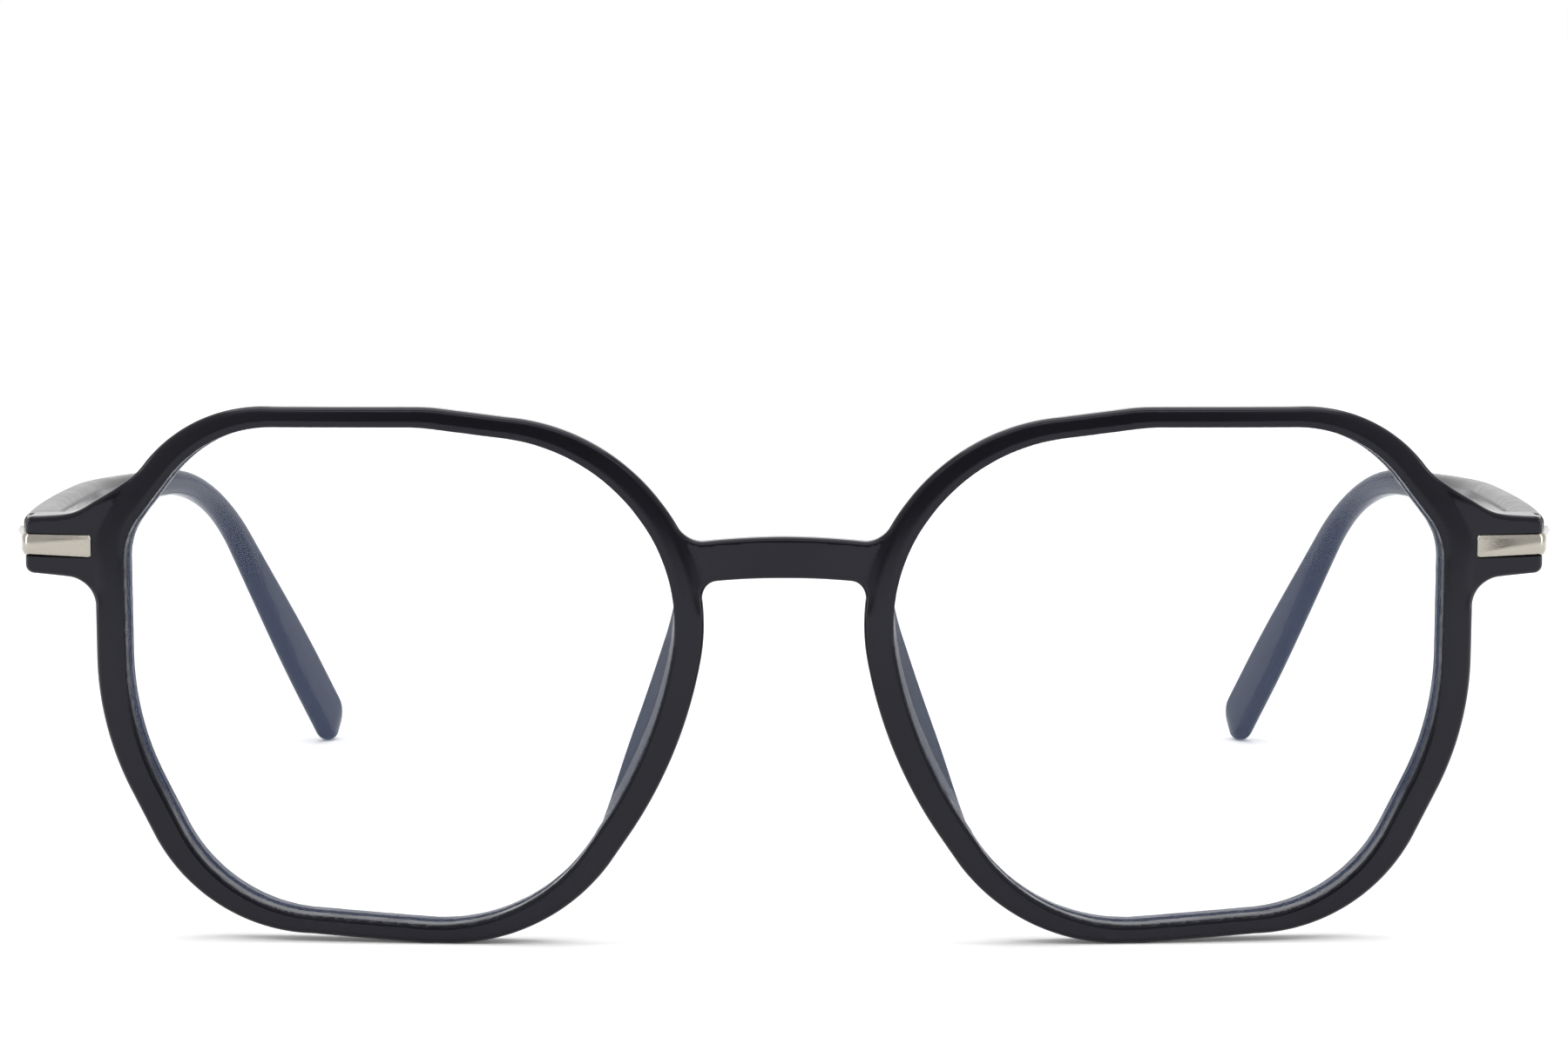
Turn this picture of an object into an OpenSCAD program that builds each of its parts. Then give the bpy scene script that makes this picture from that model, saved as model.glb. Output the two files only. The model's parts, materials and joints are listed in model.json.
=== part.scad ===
// Geometric eyeglasses: a moulded front with its lenses, two inlaid metal
// end brackets with their hinges, and two folding temples with a core wire.
// Lengths are in millimetres. The wearer looks along -Y, +Z is up, and the
// glasses are symmetric about x = 0, so "left" is the wearer's left, at +x.

/* [Lens opening] */
// Width of one lens opening, at the front face of the rim
lens_w = 51.2; // [47:0.2:55]
// Height of one lens opening, at the front face of the rim
lens_h = 46.4; // [42:0.2:50]
// Gap between the two lens openings, across the nose
nose_gap = 19.8; // [18:0.2:24]
// Radius of the face curve that both lenses and rims follow
curve_r = 180; // [120:5:300]
// Angle that each lens is turned outward from straight ahead
wrap = 5.5; // [3:0.5:8]

/* [Lens] */
// Thickness of a lens
lens_t = 2.0; // [1.6:0.1:2.4]
// Depth of the lens behind the rim's front face
lens_set = 1.1; // [0.9:0.1:1.4]
// Thickness of the bevel that runs round the lens edge
bevel_t = 0.7; // [0.5:0.05:0.9]
// Reach of the lens bevel beyond the lens edge
bevel_reach = 0.55; // [0.3:0.05:0.7]

/* [Rim] */
// Rim width at the temple side
rim_side = 2.6; // [2:0.1:3.2]
// Rim width at the top
rim_top = 1.7; // [1.5:0.1:2.6]
// Rim width at the bottom
rim_bottom = 1.6; // [1.5:0.1:2.4]
// Rim width at the nose side
rim_nose = 2.6; // [2.2:0.1:3.2]
// Depth of the rim from front to back
rim_depth = 4.0; // [3.6:0.1:5]
// Radius of the rim's outer edges
rim_edge = 0.45; // [0.3:0.05:0.6]
// How far the rim's inner wall stands inside its front edge
rim_lip = 0.35; // [0.2:0.05:0.5]

/* [Bridge] */
// Height of the bridge at its middle
bridge_h = 3.9; // [3.2:0.1:5]
// Height of the bridge's middle above the lens centre
bridge_z = 10.9; // [9:0.1:12]
// Drop of the bridge's middle line towards the rims
bridge_arch = 0.5; // [0.2:0.1:1]
// How far the bridge's middle stands behind its ends
bridge_back = 0.4; // [0.2:0.1:0.8]

/* [Nose pads] */
// Reach of a nose pad behind the rim
pad_reach = 6.5; // [4:0.5:8]
// Shift of a nose pad's rear edge away from the nose
pad_splay = 2.7; // [2:0.1:3.6]
// Half of a nose pad's thickness
pad_r = 0.8; // [0.6:0.05:1]
// Height of a nose pad's upper end above the lens centre
pad_top = 7.5; // [4:0.5:8]
// Depth of a nose pad's lower end below the lens centre
pad_low = 16; // [12:0.5:16.5]

/* [Endpiece] */
// Reach of an endpiece beyond the side of its lens opening
end_reach = 9.1; // [8.5:0.1:10.5]
// Height of an endpiece at its outer end
end_h = 4.5; // [4:0.1:5.6]
// Height of the endpiece and bracket above the lens centre
end_z = 11.3; // [9.5:0.1:12.5]
// Depth of an endpiece at its outer end
end_depth = 5.8; // [5:0.1:6.6]

/* [End bracket] */
// Height of the bracket strip
strip_h = 2.1; // [1.9:0.1:2.5]
// Thickness of the bracket strip
strip_t = 1.2; // [1:0.05:1.4]
// Length of the bracket's front leg, to its corner
strip_front = 6.7; // [6:0.1:7.4]
// Length of the bracket's side leg, from its corner
strip_side = 10.1; // [9.6:0.1:11]
// Outward angle of the side leg
strip_flare = 9; // [5:0.5:10]
// Width of the bevel on the strip's outer edges
strip_bevel = 0.4; // [0.2:0.05:0.5]
// How far the strip stands out of the endpiece's end
strip_proud = 0.2; // [0.1:0.05:0.6]

/* [Bracket screws] */
// Radius of the bracket screws' shanks
fix_r = 0.5; // [0.4:0.05:0.6]
// Radius of the bracket screws' heads
fix_head_r = 0.95; // [0.8:0.05:1.05]
// Height of the bracket screws' heads
fix_head_h = 0.5; // [0.4:0.05:0.6]
// Distance from the bracket's inner end to the first screw
fix_first = 1.5; // [1.3:0.1:1.8]
// Distance between the two bracket screws
fix_pitch = 2.9; // [2.6:0.1:3.2]

/* [Hinge] */
// Radius of the hinge barrel
barrel_r = 1.45; // [1.3:0.05:1.6]
// Radius of the hinge screw
pivot_r = 0.7; // [0.6:0.05:0.8]
// Height of each outer knuckle
knuckle_h = 1.25; // [1.1:0.05:1.5]
// Height of the temple's knuckle
mid_h = 1.2; // [1:0.05:1.5]
// Thickness of the hinge washers
washer_t = 0.12; // [0.08:0.01:0.18]
// Radius of the hinge screw's head
pivot_head_r = 1.1; // [0.95:0.05:1.15]
// Height of the hinge screw's head
pivot_head_h = 0.45; // [0.3:0.05:0.55]
// Distance from the end of the side leg to the hinge's axis
pivot_back = 1.0; // [0.8:0.1:1.3]
// How deep the barrel is sunk into the side leg
barrel_sink = 0.35; // [0.2:0.05:0.5]
// Length of the plate that joins the outer knuckles to the side leg
plate_len = 3.6; // [3:0.1:4]
// Thickness of the temple's hinge leaf
leaf_t = 0.9; // [0.8:0.05:1]
// Height of the temple's hinge leaf
leaf_h = 2.6; // [2.2:0.1:3]
// Distance of the hinge leaf outward from the hinge's axis
leaf_in = 0.15; // [0.1:0.05:0.25]
// Length of the temple's hinge leaf behind the hinge's axis
leaf_len = 10; // [8:0.5:14]

/* [Temple] */
// Length of a temple along its middle line, from its front end to its tip
temple_len = 144; // [134:1:150]
// How far a temple's outer face stands inside the bracket's side leg
root_step = 0.5; // [0.2:0.1:0.8]
// Height of a temple at its front end
root_h = 4.3; // [4:0.1:5]
// Thickness of a temple at its front end
root_t = 3.0; // [2.8:0.1:3.4]
// Height of a temple at its bend
bend_h = 2.7; // [2.5:0.1:3.4]
// Thickness of a temple at its bend
bend_t = 2.6; // [2.2:0.1:2.9]
// Height of a temple's tip
tip_h = 5.6; // [4.2:0.1:6.2]
// Thickness of a temple's tip
tip_t = 2.1; // [2:0.1:2.8]
// Length of a temple before its bend
bend_at = 84; // [78:1:88]
// Radius of the bend over the ear
bend_r = 34; // [26:1:38]
// Outward angle of a temple at its front end
bow_out = 4.4; // [2:0.2:5.4]
// Length over which a temple curves back to straight
bow_len = 44; // [36:1:47]
// Inward angle of a temple from its bend to its tip
turn_in = 17.5; // [12:0.5:20]
// Length at which a temple starts to turn inward
turn_at = 53; // [48:1:56]
// Length over which a temple turns inward
turn_len = 26; // [22:1:30]

/* [Temple core] */
// Radius of the core wire
core_r = 0.6; // [0.5:0.05:0.7]
// Length of plastic beyond the end of the core wire
core_short = 12; // [8:1:20]

/* [Stance] */
// Forward lean of the front
front_lean = 1.5; // [0:0.5:4]
// Angle between the temples and the front's own square line
panto = 3.4; // [2:0.2:6]

/* [Fits] */
// Clearance around inlaid and seated pieces
seat_gap = 0.05; // [0.03:0.01:0.08]
// Radial clearance between the hinge screw and its knuckles
pivot_gap = 0.03; // [0.02:0.01:0.05]
// Clearance at each face of the hinge washers
face_gap = 0.02; // [0.01:0.01:0.04]
// Clearance between the temple and the end of the bracket
stop_gap = 0.15; // [0.1:0.05:0.25]

/* [Hidden] */

black_plastic = [0.045, 0.045, 0.055];
lens_clear = [0.82, 0.9, 1.0, 0.25];
nickel = [0.74, 0.72, 0.67];
steel = [0.62, 0.62, 0.62];
nylon = [0.9, 0.9, 0.88];

// Lens centre, and the centre of the sphere that the face curve is part of
lens_x = (nose_gap + lens_w) / 2;
curve_x = lens_x - curve_r * sin(wrap);
curve_y = sqrt(curve_r * curve_r - curve_x * curve_x);

// Corners of the lens opening as shares of its half width and half height,
// counted from the temple side over the top, with each corner's radius as a share of the half height
lens_corners = [
    [1.00, 0.53, 0.28],
    [0.69, 0.98, 0.54],
    [-0.08, 0.99, 0.86],
    [-0.68, 0.91, 0.78],
    [-1.04, 0.39, 0.71],
    [-0.93, -0.29, 1.77],
    [-0.47, -1.04, 0.73],
    [0.65, -0.96, 0.64],
    [0.99, -0.22, 1.14]];
corner_count = len(lens_corners);
arc_steps = 8;
least_step = 0.2;

// Rounded outline of the lens opening: [x, z, outward x, outward z] around the lens centre
function unit(v) = v / norm(v);
function direction(a) = [cos(a), sin(a)];
function angle_of(v) = atan2(v[1], v[0]);
function corner(i) = let (c = lens_corners[i % corner_count]) [c[0] * lens_w / 2, c[1] * lens_h / 2];
function before(i) = unit(corner(i + corner_count - 1) - corner(i));
function after(i) = unit(corner(i + 1) - corner(i));
function side_len(i) = norm(corner(i + 1) - corner(i));
function half_angle(i) = acos(before(i) * after(i)) / 2;
function full_tangent(i) = lens_corners[i % corner_count][2] * lens_h / 2 / tan(half_angle(i));
function tangent(i) = full_tangent(i) * min(1, side_len(i) / (full_tangent(i) + full_tangent(i + 1)),
    side_len(i + corner_count - 1) / (full_tangent(i + corner_count - 1) + full_tangent(i)));
function corner_r(i) = tangent(i) * tan(half_angle(i));
function arc_centre(i) = corner(i) + unit(before(i) + after(i)) * corner_r(i) / sin(half_angle(i));
function arc_start(i) = angle_of(corner(i) + before(i) * tangent(i) - arc_centre(i));
arc_points = [for (i = [0:corner_count - 1], k = [0:arc_steps])
    let (d = direction(arc_start(i) + (180 - 2 * half_angle(i)) * k / arc_steps))
    let (p = arc_centre(i) + corner_r(i) * d)
    [p[0], p[1], d[0], d[1]]];
function apart(i) = let (a = arc_points[i], b = arc_points[(i + 1) % len(arc_points)])
    norm([a[0] - b[0], a[1] - b[1]]);
lens_outline = [for (i = [0:len(arc_points) - 1]) if (apart(i) > least_step) arc_points[i]];

// Distance of the face curve behind the front's own origin
function face_y(x, z) = curve_y - sqrt(curve_r * curve_r - pow(x - curve_x, 2) - z * z);

// Point of the front at outline station s, out from the opening's edge and deep behind the face
function front_point(s, out, deep) =
    let (x = lens_x + s[0] + out * s[2], z = s[1] + out * s[3])
    [x - deep * sin(wrap), face_y(x, z) + deep * cos(wrap), z];

// Rim width towards an outward direction
function rim_w(nx, nz) = let (across = nx > 0 ? rim_side : rim_nose, up = nz > 0 ? rim_top : rim_bottom)
    up + (across - up) * abs(nx);

// Groove for the lens bevel, with sloped sides
groove_room = 0.15;
groove_front = lens_set + (lens_t - bevel_t) / 2 - groove_room;
groove_back = groove_front + bevel_t + 2 * groove_room;
groove_depth = bevel_reach - rim_lip + groove_room;

// Rim section: [outward, depth], from the front edge of the opening round to the groove
edge_cut = 0.3 * rim_edge;
function rim_section(w) = [
    [-rim_lip, rim_lip],
    [0, 0],
    [w - rim_edge, 0],
    [w - edge_cut, edge_cut],
    [w, rim_edge],
    [w, rim_depth - rim_edge],
    [w - edge_cut, rim_depth - edge_cut],
    [w - rim_edge, rim_depth],
    [0, rim_depth],
    [-rim_lip, rim_depth - rim_lip],
    [-rim_lip, groove_back],
    [groove_depth, groove_back - groove_room],
    [groove_depth, groove_front + groove_room],
    [-rim_lip, groove_front]];
rim_rings = [for (i = [len(lens_outline) - 1:-1:0]) let (s = lens_outline[i])
    [for (p = rim_section(rim_w(s[2], s[3]))) front_point(s, p[0], p[1])]];

// Height of the lens centre above the surface that the rims stand on
stand_h = -min([for (ring = rim_rings, p = ring) p[2] * cos(front_lean) + p[1] * sin(front_lean)]);

// Outer end of the endpieces, the outer corner of the bracket strip, and its bend
bend_inside = 0.15;
end_x = lens_x + lens_w / 2 + end_reach;
corner_x = end_x + strip_proud;
strip_corner = [corner_x, face_y(corner_x, end_z)];
strip_tilt = asin((end_x - strip_front / 2 - curve_x) / curve_r);
strip_turn = 90 - strip_flare - strip_tilt;
strip_r = strip_t + bend_inside;
setback = strip_r * tan(strip_turn / 2);

// Hinge axis, in the front's frame: inward from the side leg, near its end
pivot_in = strip_t + barrel_r - barrel_sink;
pivot_along = strip_side - setback - pivot_back;
bend_centre = strip_corner - setback * direction(strip_tilt) + strip_r * direction(strip_tilt + 90);
hinge_xy = bend_centre + pivot_along * direction(90 - strip_flare)
    + (pivot_in - strip_r) * direction(180 - strip_flare);
hinge_z = end_z - pivot_along * sin(panto);

// Hinge stack, up from the middle of the temple's knuckle, and the room that its barrel turns in
sweep_gap = 0.15;
inner_face = mid_h / 2 + washer_t + 2 * face_gap;
outer_face = inner_face + knuckle_h;
sweep_r = barrel_r + sweep_gap;

// Front end of the temple's middle line, in the hinge's frame
leg_end = pivot_back * direction(90 - strip_flare) + (pivot_in - strip_t) * direction(-strip_flare);
root_x = leg_end[0] + strip_t - root_step - root_t / 2;
root_y = leg_end[1] + stop_gap;

// Heading, drop, height and thickness of a temple at a length q from its front end
function ease(q, from, to) = let (t = min(1, max(0, (q - from) / (to - from)))) t * t * (3 - 2 * t);
function ramp(q, from, to) = min(1, max(0, (q - from) / (to - from)));
function heading(q) = bow_out * (1 - ramp(q, 0, bow_len)) - turn_in * ramp(q, turn_at, turn_at + turn_len);
bend_arc = bend_r * PI / 180;
function drop(q, bend) = bend * ramp(q, bend_at, bend_at + bend_arc * bend);
tip_swell_len = 46;
tip_full_len = 10;
function swell(q, root, bend, tip) = root + (bend - root) * ramp(q, 0, bend_at)
    + (tip - bend) * ease(q, temple_len - tip_swell_len, temple_len - tip_full_len);
function temple_h(q) = swell(q, root_h, bend_h, tip_h);
function temple_t(q) = swell(q, root_t, bend_t, tip_t);

// Bend of the temple that brings its tip down to the surface under the rims
tip_r = tip_h / 2;
function tip_leg(bend) = temple_len - tip_r - bend_at - bend_arc * bend;
function tip_fall(bend) = bend_r * (1 - cos(bend)) + tip_leg(bend) * sin(bend);
function tip_run(bend) = bend_r * sin(bend) + tip_leg(bend) * cos(bend);
slope = panto - front_lean;
hinge_height = stand_h + hinge_z * cos(front_lean) + hinge_xy[1] * sin(front_lean);
function tip_height(bend) = hinge_height - tip_r - tip_fall(bend) * cos(slope)
    - (root_y + bend_at + tip_run(bend) * cos(turn_in)) * sin(slope);
function find_bend(low, high, n) = let (mid = (low + high) / 2)
    n == 0 ? mid : tip_height(mid) > 0 ? find_bend(mid, high, n - 1) : find_bend(low, mid, n - 1);
temple_bend = find_bend(5, 80, 20);

// Lengths at which the temple has a section: evenly, and closer at its rounded ends
root_edge = 0.8;
temple_steps = 50;
cap_steps = 5;
temple_stations = concat(
    [for (a = [0, 25, 50]) root_edge * (1 - cos(a))],
    [for (i = [0:temple_steps]) root_edge + (temple_len - tip_r - root_edge) * i / temple_steps],
    [for (i = [1:cap_steps]) temple_len - tip_r + tip_r * sin(88 * i / cap_steps)]);
function aim(q) = let (h = heading(q), d = drop(q, temple_bend)) [sin(h) * cos(d), cos(h) * cos(d), -sin(d)];
function steps_to(q, i) = i == 0 ? [root_x, root_y, 0] :
    let (a = temple_stations[i - 1], b = temple_stations[i]) steps_to(q, i - 1) + (b - a) * aim((a + b) / 2);
temple_path = [for (i = [0:len(temple_stations) - 1]) steps_to(0, i)];

// Ring of a rounded rectangle, wide across the temple and tall up it, at station i
edge_share = 0.3;
tip_flat = 0.35;
quarters = [[1, 1, 0], [-1, 1, 90], [-1, -1, 180], [1, -1, 270]];
function round_box(w, h, r) = [for (c = quarters, a = [0, 30, 60, 90])
    [c[0] * (w / 2 - r) + r * cos(c[2] + a), c[1] * (h / 2 - r) + r * sin(c[2] + a)]];
function place(i, p) = let (q = temple_stations[i], h = heading(q), d = drop(q, temple_bend))
    temple_path[i] + p[0] * [cos(h), -sin(h), 0] + p[1] * [sin(h) * sin(d), cos(h) * sin(d), cos(d)];
function cap_share(q) = let (t = max(0, (q - temple_len + tip_r) / tip_r)) sqrt(max(0.0005, 1 - t * t));
function root_cut(q) = let (t = max(0, 1 - q / root_edge)) root_edge * (1 - sqrt(1 - t * t));
temple_rings = [for (i = [0:len(temple_stations) - 1])
    let (q = temple_stations[i], c = 2 * root_cut(q),
        w = temple_t(q) * (tip_flat + (1 - tip_flat) * cap_share(q)) - c / 2,
        h = temple_h(q) * cap_share(q) - c)
    [for (p = round_box(w, h, edge_share * min(w, h))) place(i, p)]];

// Middle of the part from front to back, which the origin stands under
function turn_x(p, a) = [p[0], p[1] * cos(a) - p[2] * sin(a), p[1] * sin(a) + p[2] * cos(a)];
front_reach = min([for (ring = rim_rings, p = ring) turn_x(p, front_lean)[1]]);
back_reach = max([for (ring = temple_rings, p = ring)
    turn_x(turn_x(p, -panto) + [hinge_xy[0], hinge_xy[1], hinge_z], front_lean)[1]]);
mid_y = (front_reach + back_reach) / 2;

// Places of the front and of a hinge, and the two sides
module front_pose() { translate([0, -mid_y, stand_h]) rotate([front_lean, 0, 0]) children(); }
module hinge_pose() {
    front_pose() translate([hinge_xy[0], hinge_xy[1], hinge_z]) rotate([-panto, 0, 0]) children();
}
module strip_pose() {
    translate([strip_corner[0], strip_corner[1], end_z]) rotate([0, 0, strip_tilt]) children();
}
module other_side() { mirror([1, 0, 0]) children(); }
module both_sides() { children(); other_side() children(); }

// Lofts through equal rings of points, closed round or capped at the ends
function ring_faces(n, i, j) = [for (k = [0:n - 1]) let (m = (k + 1) % n)
    each [[i * n + k, i * n + m, j * n + k], [i * n + m, j * n + m, j * n + k]]];
module loop_loft(rings) {
    n = len(rings[0]);
    count = len(rings);
    polyhedron([for (r = rings) each r], [for (i = [0:count - 1]) each ring_faces(n, i, (i + 1) % count)],
        convexity = 10);
}
module capped_loft(rings) {
    n = len(rings[0]);
    count = len(rings);
    first = [for (k = [n - 1:-1:0]) k];
    last = [for (k = [0:n - 1]) (count - 1) * n + k];
    polyhedron([for (r = rings) each r], [first, last, for (i = [0:count - 2]) each ring_faces(n, i, i + 1)],
        convexity = 10);
}

// Loft of rounded boxes across the front: each is [x, front y, back y, low z, high z]
function box_ring(b, r) = [for (p = round_box(b[2] - b[1], b[4] - b[3], r))
    [b[0], (b[1] + b[2]) / 2 - p[0], (b[3] + b[4]) / 2 + p[1]]];
module box_loft(boxes, r) { capped_loft([for (b = boxes) box_ring(b, r)]); }

// How far the ends of the bridge, endpieces and pads stay inside the rims
bury = 0.2;

// Bridge, from inside one rim to inside the other
bridge_x = nose_gap / 2 - rim_nose / 2;
bridge_face = face_y(bridge_x, bridge_z);
bridge_steps = 6;
function bridge_box(t) = let (z = bridge_z - bridge_arch * t * t, h = bridge_h / 2, y = bridge_face + bury)
    [t * bridge_x, y + bridge_back * (1 - t * t), y + rim_depth - 2 * bury, z - h, z + h];
module bridge() {
    box_loft([for (i = [-bridge_steps:bridge_steps]) bridge_box(i / bridge_steps)], rim_edge);
}

// Endpiece, out from inside the rim: share of its reach, low and high edge as shares of its height
end_shape = [[0.12, -1.47, 0.8], [0.27, -1.27, 0.86], [0.36, -0.91, 0.77], [0.46, -0.71, 0.7],
    [0.68, -0.62, 0.63], [0.9, -0.6, 0.58]];
end_low = -0.59;
end_high = 0.57;
end_edge = 0.4;
function end_box(share, low, high, inset) =
    let (x = lens_x + lens_w / 2 + share * end_reach, y = face_y(x, end_z), inner = rim_depth - 1.5 * bury)
    [x, y + bury * (1 - share) + inset, y + inner + (end_depth - inner) * share - inset,
    end_z + low * end_h + inset, end_z + high * end_h - inset];
function end_cap(a) =
    end_box(1 - end_edge * (1 - sin(a)) / end_reach, end_low, end_high, end_edge * (1 - cos(a)));
module endpiece() {
    box_loft([for (e = end_shape) end_box(e[0], e[1], e[2], 0), for (a = [20, 50, 80]) end_cap(a)], end_edge);
}

// Nose pad: a fin behind the nose side of the rim, its ends buried in the rim
pad_stations = [for (s = lens_outline) if (s[2] < -0.6 && s[1] < pad_top && s[1] > -pad_low) s];
function pad_bulge(z) = sqrt(max(0, sin(180 * (pad_top - z) / (pad_top + pad_low))));
function pad_root(s) = front_point(s, rim_w(s[2], s[3]) / 2 + bury, rim_depth - pad_r - 3 * bury);
function pad_edge(s) = let (b = pad_bulge(s[1]))
    front_point(s, rim_w(s[2], s[3]) / 2 + bury - pad_splay * b, rim_depth - pad_r - bury + pad_reach * b);
function pad_ring(s) = let (root = pad_root(s), edge = pad_edge(s), along = unit(edge - root),
    across = unit(cross(along, [-s[3], 0, s[2]])), mid = (root + edge) / 2)
    [for (p = round_box(2 * pad_r, norm(edge - root) + 2 * pad_r, 0.98 * pad_r))
        mid - p[0] * across + p[1] * along];
module nose_pad() { capped_loft([for (s = pad_stations) pad_ring(s)]); }

// Section of the bracket strip, and the slot that holds it: [thickness, height]
strip_section = [
    [0, strip_bevel - strip_h / 2],
    [strip_bevel / 2, -strip_h / 2],
    [strip_t, -strip_h / 2],
    [strip_t, strip_h / 2],
    [strip_bevel / 2, strip_h / 2],
    [0, strip_h / 2 - strip_bevel]];
slot_open = -1;
slot_section = [
    [slot_open, -strip_h / 2 - seat_gap],
    [strip_t + seat_gap, -strip_h / 2 - seat_gap],
    [strip_t + seat_gap, strip_h / 2 + seat_gap],
    [slot_open, strip_h / 2 + seat_gap]];

strip_lap = 0.1;
module straight_strip(length, section) { rotate([90, 0, 90]) linear_extrude(length) polygon(section); }
module bent_strip(section, spare) {
    strip_pose() {
        translate([-strip_front - spare, 0, 0]) straight_strip(strip_front + spare - setback, section);
        translate([-setback, strip_r, 0]) {
            rotate([0, 0, -90]) rotate_extrude(angle = strip_turn, $fn = 64)
                polygon([for (p = section) [strip_r - p[0], p[1]]]);
            rotate([0, 0, strip_turn]) translate([-strip_lap, -strip_r, 0]) rotate([0, panto, 0])
                straight_strip(strip_side - setback + strip_lap, section);
        }
    }
}

// Bracket screws, which hold the strip's front leg from behind, and the slots in the heads
fix_depth = strip_t / 3;
fix_bed = 2;
fix_seat = strip_t + fix_bed;
fix_gap = 0.01;
screw_slot_w = 0.3;
screw_slot_d = 0.25;
module at_fixings() {
    strip_pose() for (k = [0, 1])
        translate([-strip_front + fix_first + k * fix_pitch, 0, 0]) rotate([-90, 0, 0]) children();
}

module front_frame() {
    color(black_plastic) front_pose() difference() {
        union() {
            both_sides() loop_loft(rim_rings);
            bridge();
            both_sides() endpiece();
            both_sides() nose_pad();
        }
        both_sides() {
            bent_strip(slot_section, seat_gap);
            at_fixings() {
                cylinder(h = fix_seat, r = fix_r + 2 * seat_gap, $fn = 24);
                translate([0, 0, fix_seat]) cylinder(h = end_depth, r = fix_head_r + seat_gap, $fn = 24);
            }
        }
    }
}

// Outline of the lens or its bevel, seen along the lens's own axis, and its slice along the face curve
face_sides = 200;
function flat_point(p) = [(p[0] - lens_x) * cos(wrap) + (p[1] - face_y(lens_x, 0)) * sin(wrap), p[2]];
module lens_blank(grow) { polygon([for (s = lens_outline) flat_point(front_point(s, grow, 0))]); }
module lens_slice(grow, from, thick) {
    intersection() {
        difference() {
            translate([curve_x, curve_y, 0]) sphere(curve_r - from, $fn = face_sides);
            translate([curve_x, curve_y, 0]) sphere(curve_r - from - thick, $fn = face_sides);
        }
        translate([lens_x, face_y(lens_x, 0), 0]) rotate([0, 0, wrap]) rotate([90, 0, 0])
            linear_extrude(lens_w / 2, center = true) lens_blank(grow);
    }
}
module lens() {
    color(lens_clear) front_pose() {
        lens_slice(-rim_lip - seat_gap, lens_set, lens_t);
        lens_slice(bevel_reach - rim_lip, lens_set + (lens_t - bevel_t) / 2, bevel_t);
    }
}

// Bracket: the bent strip, a plate inside its side leg, and the two outer knuckles
plate_in = 0.2;
plate_lap = 0.05;
module hinge_rod(low, high, r) { translate([0, 0, low]) cylinder(h = high - low, r = r, $fn = 48); }
module end_bracket() {
    color(nickel) difference() {
        union() {
            front_pose() bent_strip(strip_section, 0);
            hinge_pose() {
                hinge_rod(-outer_face, -inner_face, barrel_r);
                hinge_rod(inner_face, outer_face, barrel_r);
                rotate([0, 0, -strip_flare]) translate([plate_in, pivot_back - plate_len, -outer_face])
                    cube([pivot_in - strip_t - plate_in + plate_lap, plate_len, 2 * outer_face]);
            }
        }
        hinge_pose() {
            hinge_rod(-inner_face, inner_face, sweep_r);
            hinge_rod(-outer_face - 1, outer_face + 1, pivot_r + pivot_gap);
            hinge_rod(outer_face - pivot_head_h - face_gap, outer_face + 1, pivot_head_r + seat_gap);
        }
        front_pose() at_fixings()
            translate([0, 0, fix_depth]) cylinder(h = strip_t, r = fix_r + fix_gap, $fn = 32);
    }
}

module bracket_screws() {
    color(steel) front_pose() at_fixings() difference() {
        union() {
            translate([0, 0, fix_depth + face_gap]) cylinder(h = fix_seat - fix_depth, r = fix_r, $fn = 32);
            translate([0, 0, fix_seat + face_gap]) cylinder(h = fix_head_h, r = fix_head_r, $fn = 48);
        }
        translate([0, 0, fix_seat + fix_head_h + face_gap])
            cube([3 * fix_head_r, screw_slot_w, 2 * screw_slot_d], center = true);
    }
}

module hinge_screw() {
    color(steel) hinge_pose() difference() {
        union() {
            hinge_rod(-outer_face, outer_face - pivot_head_h, pivot_r);
            hinge_rod(outer_face - pivot_head_h, outer_face, pivot_head_r);
        }
        translate([0, 0, outer_face]) cube([3 * pivot_head_r, screw_slot_w, 2 * screw_slot_d], center = true);
    }
}

module hinge_washers() {
    color(nylon) hinge_pose() for (z = [mid_h / 2 + face_gap, -mid_h / 2 - face_gap - washer_t])
        difference() {
            hinge_rod(z, z + washer_t, barrel_r - 2 * seat_gap);
            hinge_rod(z - 1, z + washer_t + 1, pivot_r + 2 * pivot_gap);
        }
}

// Hinge leaf of the temple, grown for the pocket that holds it
leaf_clear = 0.1;
leaf_start = sweep_r + leaf_clear;
module leaf_plate(grow) {
    rotate([0, 0, -bow_out]) {
        translate([leaf_in - grow, leaf_start - grow, -leaf_h / 2 - grow])
            cube([leaf_t + 2 * grow, leaf_len - leaf_start + 2 * grow, leaf_h + 2 * grow]);
        translate([leaf_in - grow, 0, -mid_h / 2 - grow])
            cube([leaf_t + 2 * grow, leaf_len, mid_h + 2 * grow]);
    }
}
module temple_hinge() {
    color(nickel) hinge_pose() difference() {
        union() {
            hinge_rod(-mid_h / 2, mid_h / 2, barrel_r);
            leaf_plate(0);
        }
        hinge_rod(-mid_h, mid_h, pivot_r + pivot_gap);
    }
}

// Core wire along the temple's middle line, from the hinge leaf to short of the tip, in a longer bore
function core_rings(r, from, to) = [for (i = [0:len(temple_stations) - 1])
    if (temple_stations[i] >= from && temple_stations[i] <= to)
    [for (a = [0:45:315]) place(i, r * direction(a))]];
core_from = leaf_len;
core_to = temple_len - core_short;
bore_spare = 3;
module temple_core() {
    color(steel) hinge_pose() capped_loft(core_rings(core_r, core_from, core_to));
}

module temple() {
    color(black_plastic) hinge_pose() difference() {
        capped_loft(temple_rings);
        hinge_rod(-root_h, root_h, sweep_r + seat_gap);
        leaf_plate(seat_gap);
        capped_loft(core_rings(core_r + seat_gap, core_from - bore_spare, core_to + bore_spare));
    }
}

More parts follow.
